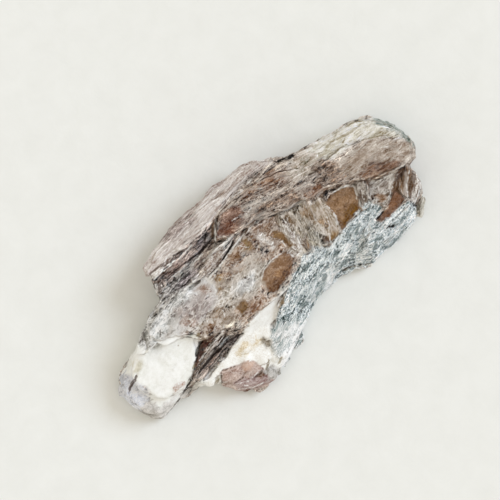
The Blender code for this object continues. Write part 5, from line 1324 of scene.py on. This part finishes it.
# Cleavage plates from long to small: their vector, cells per millimetre, how far they bend, shift.
PLATES = {
    "lath": ("grain", (0.11, 0.62, 0.4), 0.7, 81.0),
    "facet": ("place", (0.26, 0.38, 0.3), 0.9, 83.0),
    "scale": ("place", (0.75, 0.95, 0.8), 0.8, 85.0),
}
SPECK_SIZE = (0.95, 2.8, 2.8)
SPECK_COLOUR = (98, 112, 112)
GLINT_COLOUR = (240, 243, 242)
FILM_COLOUR = (230, 226, 221)
DARKEST_TONE, LIGHTEST_TONE = -0.45, 1.6


class Stone(Nodes):
    """The stone's material: what its parts share is made once, and each part of the look is one function."""

    def __init__(self, material):
        super().__init__(material)
        self.vectors = {name: self.attribute(name, "Vector") for name in ("grain", "place")}
        self.up, self.edge = self.attribute("up"), self.attribute("edge")
        self.down = self.minus(1.0, self.up)
        spread = self.node("ShaderNodeSeparateXYZ", {0: self.attribute("spread", "Vector")})
        self.streaky, self.mottled, self.filmy = spread.outputs[0], spread.outputs[1], spread.outputs[2]
        self.noises = {name: self.noise(self.vectors[of], *rest) for name, (of, *rest) in NOISES.items()}
        self.plates = {name: self.plate(self.vectors[of], *rest) for name, (of, *rest) in PLATES.items()}
        self.steps = self.cleavage_steps(self.vectors["grain"], (0.09, 0.50, 0.50), 9.0, 4.0, 0.4, 51.0)
        self.stepped = self.times(self.streaky, 0.9)

    def centred(self, value, gain):
        return self.times(self.minus(value, 0.5), gain)

    def cleavage_steps(self, vector, factors, levels, detail, distortion, shift):
        """Cleavage steps: the sheet's number and tone, the bright rim (a painted highlight) and the dark line
        (painted shade at its foot) of each step.
        """
        field = self.times(self.noise(vector, factors, detail, 0.6, distortion, shift), levels)
        number = self.math("FLOOR", field)
        part = self.minus(field, number)
        tone = self.math("SINE", self.times_plus(number, SCATTER, shift))
        return number, tone, self.step(part, 0.16, 0.02), self.step(part, 0.84, 0.97)

    def plate(self, vector, factors, bend, shift):
        """Cleavage plates: a tone from -0.5 to 0.5 for each, and the distance from its edge."""
        spot = self.scaled(vector, factors, (shift, shift, shift))
        stir = {"Vector": spot, "Scale": 2.2, "Detail": 3.0, "Roughness": 0.62}
        stirred = self.node("ShaderNodeTexNoise", stir).outputs["Color"]
        spot = self.scaled(stirred, (bend, bend, bend), spot)
        cell = self.node("ShaderNodeTexVoronoi", {"Vector": spot, "Scale": 1.0}, feature="F1")
        rim = self.node("ShaderNodeTexVoronoi", {"Vector": spot, "Scale": 1.0}, feature="DISTANCE_TO_EDGE")
        shade = self.node("ShaderNodeSeparateXYZ", {0: cell.outputs["Color"]}).outputs[0]
        return self.minus(shade, 0.5), rim.outputs["Distance"]

    def web(self, vector, factors, width, low, distortion, shift):
        """Crooked lines where a noise crosses its middle, broken up by another."""
        value = self.noise(vector, factors, 3.0, 0.55, distortion, shift)
        line = self.step(self.math("ABSOLUTE", self.minus(value, 0.5)), width, 0.3 * width)
        gap_factors = tuple(0.9 * factor for factor in factors)
        gaps = self.step(self.noise(vector, gap_factors, 2.0, 0.5, 0.0, shift + 2.0), low, low + 0.14)
        return self.times(line, gaps)

    def rimmed(self, plates, width, shift):
        """Lines where a plate's edge is near, in broken lengths."""
        line = self.step(self.plates[plates][1], width, 0.3 * width)
        gaps = self.noise(self.vectors["place"], (0.5, 0.5, 0.5), 2.0, 0.5, 0.0, shift)
        return self.times(line, self.step(gaps, 0.44, 0.56))

    def tone(self):
        """From dark at 0 over middle at 0.5 to light at 1, for every place."""
        _, step_tone, rim, foot = self.steps
        streaks = self.plus(self.centred(self.noises["fine"], 3.4), self.centred(self.noises["hair"], 4.0))
        streaks = self.plus(self.centred(self.noises["broad"], 2.0), streaks)
        tone = self.times_plus(streaks, self.streaky, 0.5)
        tone = self.times_plus(self.centred(self.noises["blotch"], 3.0), self.mottled, tone)
        tone = self.times_plus(self.centred(self.noises["grit"], 4.2), self.attribute("grit"), tone)
        for share, weight, factor in (
            (step_tone, self.stepped, 0.20),
            (self.plates["lath"][0], self.streaky, 0.55),
            (self.plates["facet"][0], self.mottled, 0.80),
            (self.plates["scale"][0], self.mottled, 0.50),
            # The step's foot here is painted shade, and its rim next a painted highlight.
            (foot, self.stepped, -0.26),
            (rim, self.stepped, 0.32),
        ):
            tone = self.times_plus(share, self.times(weight, factor), tone)
        tone = self.plus(tone, self.attribute("level"))
        tone = self.times_plus(self.centred(self.noises["sheets"], 3.6), self.down, tone)
        # Painted light: the steep sides are lightened to make up for the shade they get.
        tone = self.times_plus(self.down, 0.18, tone)
        return self.least(self.most(tone, DARKEST_TONE), LIGHTEST_TONE)

    def toned(self):
        """The painted tones by dark, middle and light."""
        tone = self.tone()
        names = ("tone_dark", "tone_middle", "tone_light")
        dark, middle, light = [self.attribute(name, "Color") for name in names]
        colour = self.mix(self.least(self.times(tone, 2.0), 1.0), dark, middle, open_ended=True)
        return self.mix(self.most(self.times_plus(tone, 2.0, -1.0), 0.0), colour, light, open_ended=True)

    def films(self):
        """Where the white lines of thin films run."""
        grain, place = self.vectors["grain"], self.vectors["place"]
        thread = self.web(place, (0.42, 0.62, 0.5), 0.030, 0.42, 1.2, 21.0)
        thread = self.most(thread, self.web(grain, (0.12, 0.8, 0.8), 0.030, 0.43, 0.8, 25.0))
        thread = self.most(thread, self.rimmed("facet", 0.055, 61.0))
        thread = self.most(thread, self.times(self.rimmed("scale", 0.09, 65.0), 0.7))
        thread = self.most(thread, self.times(self.rimmed("lath", 0.05, 69.0), 0.8))
        return self.times(self.times(thread, self.filmy), self.up)

    def speckled(self, colour):
        """Short teal-grey specks and white glints of the fibrous flank, in clumps."""
        grain, specks = self.vectors["grain"], self.attribute("specks")
        clump = self.noise(grain, (0.22, 0.42, 0.4), 2.0, 0.5, 0.6, 71.0)
        for shift, clumped, low, high, shade in (
            (31.0, 0.7, 0.60, 0.66, SPECK_COLOUR),
            (37.0, -0.5, 0.54, 0.60, GLINT_COLOUR),
        ):
            speck = self.noise(grain, SPECK_SIZE, 3.0, 0.66, 0.6, shift)
            speck = self.plus(speck, self.centred(clump, clumped))
            speck = self.times(self.step(speck, low, high), specks)
            colour = self.mix(self.times(speck, 0.75), colour, rgba(shade))
        return colour

    def wear_and_edge_light(self, colour, film):
        """Torn edges are whitened, as wear and as a painted highlight; hollows are darkened as painted shade.
        """
        broken = self.step(self.noises["fine"], 0.35, 0.6, 0.3, 1.0)
        wear_and_edge_light = self.times(self.step(self.edge, 0.35, 1.3), broken)
        wear_and_edge_light = self.times(wear_and_edge_light, self.times_plus(self.filmy, 0.45, 0.22))
        colour = self.mix(wear_and_edge_light, colour, film)
        # Painted shade: hollows are darkened towards the tone's dark shade.
        hollow = self.step(self.edge, -0.35, -1.5)
        return self.mix(self.times(hollow, 0.45), colour, self.attribute("tone_dark", "Color"))

    def lined(self, colour):
        """The painted lines, ragged and broken."""
        ragged = self.centred(self.noise(self.vectors["place"], (1.5, 1.5, 1.5), 3.0, 0.6, 0.0, 41.0), 0.8)
        broken = self.step(self.noises["fine"], 0.28, 0.56, 0.35, 1.0)
        for kind, (shade, strength, low, high) in LINE_LOOKS.items():
            line = self.step(self.plus(self.attribute(kind + "_line"), ragged), low, high)
            colour = self.mix(self.times(self.times(line, broken), strength), colour, rgba(shade))
        return colour

    def bumps(self, thread):
        """The finest relief, under a tenth of a millimetre."""
        height = self.plus(self.times(self.noises["fine"], 0.6), self.times(self.noises["hair"], 0.4))
        height = self.times(height, self.streaky)
        height = self.plus(height, self.times(self.noises["grit"], 0.5))
        height = self.times_plus(self.steps[0], self.times(self.stepped, 0.22), height)
        height = self.times_plus(self.plates["facet"][0], self.times(self.mottled, 0.5), height)
        height = self.times_plus(self.plates["lath"][0], self.times(self.streaky, 0.4), height)
        height = self.plus(height, self.times(self.times(self.noises["sheets"], self.down), 2.0))
        height = self.times_plus(thread, 0.35, height)
        bump = self.node("ShaderNodeBump", {"Height": height, "Strength": 0.7, "Distance": 0.25 * MM})
        return bump.outputs[0]


def mineral_material(name):
    """Tones by streaks along the grain, mottling and thin films, then specks, worn edges with a painted
    highlight, hollows with painted shade, and painted lines.
    """
    material = bpy.data.materials.new(name)
    material.use_nodes = True
    n = Stone(material)
    thread = n.films()
    film = n.mix(0.5, n.attribute("tone_light", "Color"), rgba(FILM_COLOUR))
    colour = n.mix(n.times(thread, 1.2, clamp=True), n.toned(), film)
    colour = n.lined(n.wear_and_edge_light(n.speckled(colour), film))
    rough = n.plus(n.attribute("roughness"), n.centred(n.noises["hair"], 0.25))
    rough = n.plus(rough, n.centred(n.noises["blotch"], 0.2))
    shader = n.node("ShaderNodeBsdfPrincipled", {
        "Base Color": colour, "Roughness": rough, "Normal": n.bumps(thread), "Specular IOR Level": 0.22,
    })
    n.node("ShaderNodeOutputMaterial", {"Surface": shader.outputs[0]})
    return material


# ---------------------------------------------------------------- pieces
def to_part(mesh):
    """From outline coordinates in millimetres to the part's place in metres."""
    shift = Matrix.Translation((-OUTLINE_CENTRE[0], -OUTLINE_CENTRE[1], 0.0))
    mesh.transform(Matrix.Scale(MM, 4) @ shift)
    mesh.update()


def fit_into_box(mesh):
    """Squeezes what reaches past the CAD's box, over the last stretch before each of its sides but the
    bottom.
    """
    places = corners_of(mesh)
    for axis in range(3):
        for side, sign in ((0, -1.0), (1, 1.0)):
            limit = sign * (cad_box[side][axis] / MM + (*OUTLINE_CENTRE, 0.0)[axis]) - BOX_MARGIN
            past = sign * places[:, axis] - (limit - SQUEEZED)
            reach = past.max()
            if reach > SQUEEZED and not (axis == 2 and side == 0):
                past = np.where(past > 0.0, past * (SQUEEZED / reach - 1.0), 0.0)
                places[:, axis] += sign * past
    mesh.vertices.foreach_set("co", places.ravel())
    mesh.update()


def add_piece(name, mesh, material):
    fit_into_box(mesh)
    to_part(mesh)
    mesh.materials.append(material)
    piece = bpy.data.objects.new(name, mesh)
    bpy.context.scene.collection.objects.link(piece)
    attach(piece, "root")
    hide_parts(NODE)
    return piece


SHARP_ANGLE = radians(38.0)


def build_alunite():
    """The mass and the flakes on it, two pieces that stand for the whole part."""
    material = mineral_material("bladed_alunite")
    mass = layered_mass()
    corners = [tuple(corner.co) for corner in mass.vertices]
    tree = BVHTree.FromPolygons(corners, [tuple(face.vertices) for face in mass.polygons])
    flakes, grain, lift, edge = flakes_on(tree)
    paint(mass)
    paint(flakes, grain, edge, lift)
    for mesh in (mass, flakes):
        mesh.shade_smooth()
        mesh.set_sharp_from_angle(angle=SHARP_ANGLE)
    add_piece("alunite_mass", mass, material)
    add_piece("alunite_flakes", flakes, material)


# ---------------------------------------------------------------- stage
# The photo's scale and size, the turn of the part's long axis in it, and the outlines' zero in it.
PIXELS_PER_MM = 4.3
PHOTO_PIXELS = 500
PHOTO_TURN = radians(41.6)
PHOTO_ORIGIN = (261.7, 269.1)
LENS = 200.0
SENSOR = 36.0
SHARP_HEIGHT = 8.0


def add_camera():
    """Straight above, turned so that the part's long axis runs up to the right as in the photo."""
    right = Vector((cos(PHOTO_TURN), -sin(PHOTO_TURN), 0.0))
    upwards = Vector((sin(PHOTO_TURN), cos(PHOTO_TURN), 0.0))
    off_x = (PHOTO_PIXELS / 2 - PHOTO_ORIGIN[0]) / PIXELS_PER_MM
    off_y = (PHOTO_ORIGIN[1] - PHOTO_PIXELS / 2) / PIXELS_PER_MM
    target = right * off_x + upwards * off_y - Vector((*OUTLINE_CENTRE, 0.0))
    distance = LENS / SENSOR * PHOTO_PIXELS / PIXELS_PER_MM
    camera = bpy.data.cameras.new("camera")
    camera.lens = LENS
    camera.sensor_width = SENSOR
    camera.clip_start = 0.01
    holder = bpy.data.objects.new("camera", camera)
    bpy.context.scene.collection.objects.link(holder)
    turn = Matrix((right, upwards, Vector((0.0, 0.0, 1.0)))).transposed()
    stand = target + Vector((0.0, 0.0, distance + SHARP_HEIGHT))
    holder.matrix_world = Matrix.Translation(stand * MM) @ turn.to_4x4()
    bpy.context.scene.camera = holder


KEY_FROM = (1.0, -0.20)
KEY_ELEVATION = radians(38.0)
KEY_POWER = 1.55
KEY_WIDTH = radians(32.0)
KEY_COLOUR = (0.735, 0.84, 1.0)
SURROUND = (0.80, 0.755, 0.68, 1.0)
FLOOR_REACH = 1.2
FLOOR_SHADES = ((228, 229, 225), (238, 239, 236))


def add_light():
    """A soft cool key from the image's right over an even, slightly warm surround."""
    lamp = bpy.data.lights.new("key", "SUN")
    lamp.energy = KEY_POWER
    lamp.angle = KEY_WIDTH
    lamp.color = KEY_COLOUR
    holder = bpy.data.objects.new("key", lamp)
    bpy.context.scene.collection.objects.link(holder)
    side = Vector((*KEY_FROM, 0.0)).normalized() * cos(KEY_ELEVATION)
    source = side + Vector((0.0, 0.0, sin(KEY_ELEVATION)))
    holder.rotation_euler = source.to_track_quat("Z", "Y").to_euler()
    world = bpy.data.worlds.new("surround")
    world.use_nodes = True
    background = world.node_tree.nodes["Background"]
    background.inputs[0].default_value = SURROUND
    background.inputs[1].default_value = 1.0
    bpy.context.scene.world = world
    bpy.context.scene.view_settings.view_transform = "Standard"


def add_floor():
    mesh = bpy.data.meshes.new("floor")
    corners = [(x * FLOOR_REACH, y * FLOOR_REACH, 0) for x, y in ((-1, -1), (1, -1), (1, 1), (-1, 1))]
    mesh.from_pydata(corners, [], [(0, 1, 2, 3)])
    material = bpy.data.materials.new("pale_paper")
    material.use_nodes = True
    n = Nodes(material)
    place = n.node("ShaderNodeTexCoord").outputs["Object"]
    pulp = n.noise(place, (160.0, 160.0, 160.0), 4.0, 0.6, 0.3)
    colour = n.mix(pulp, *map(rgba, FLOOR_SHADES))
    bump = n.node("ShaderNodeBump", {"Height": pulp, "Strength": 0.25, "Distance": 0.4 * MM})
    shader = n.node("ShaderNodeBsdfPrincipled", {
        "Base Color": colour, "Roughness": 0.9, "Specular IOR Level": 0.1, "Normal": bump.outputs[0],
    })
    n.node("ShaderNodeOutputMaterial", {"Surface": shader.outputs[0]})
    mesh.materials.append(material)
    floor = bpy.data.objects.new("floor", mesh)
    bpy.context.scene.collection.objects.link(floor)


build_alunite()
add_camera()
add_light()
add_floor()
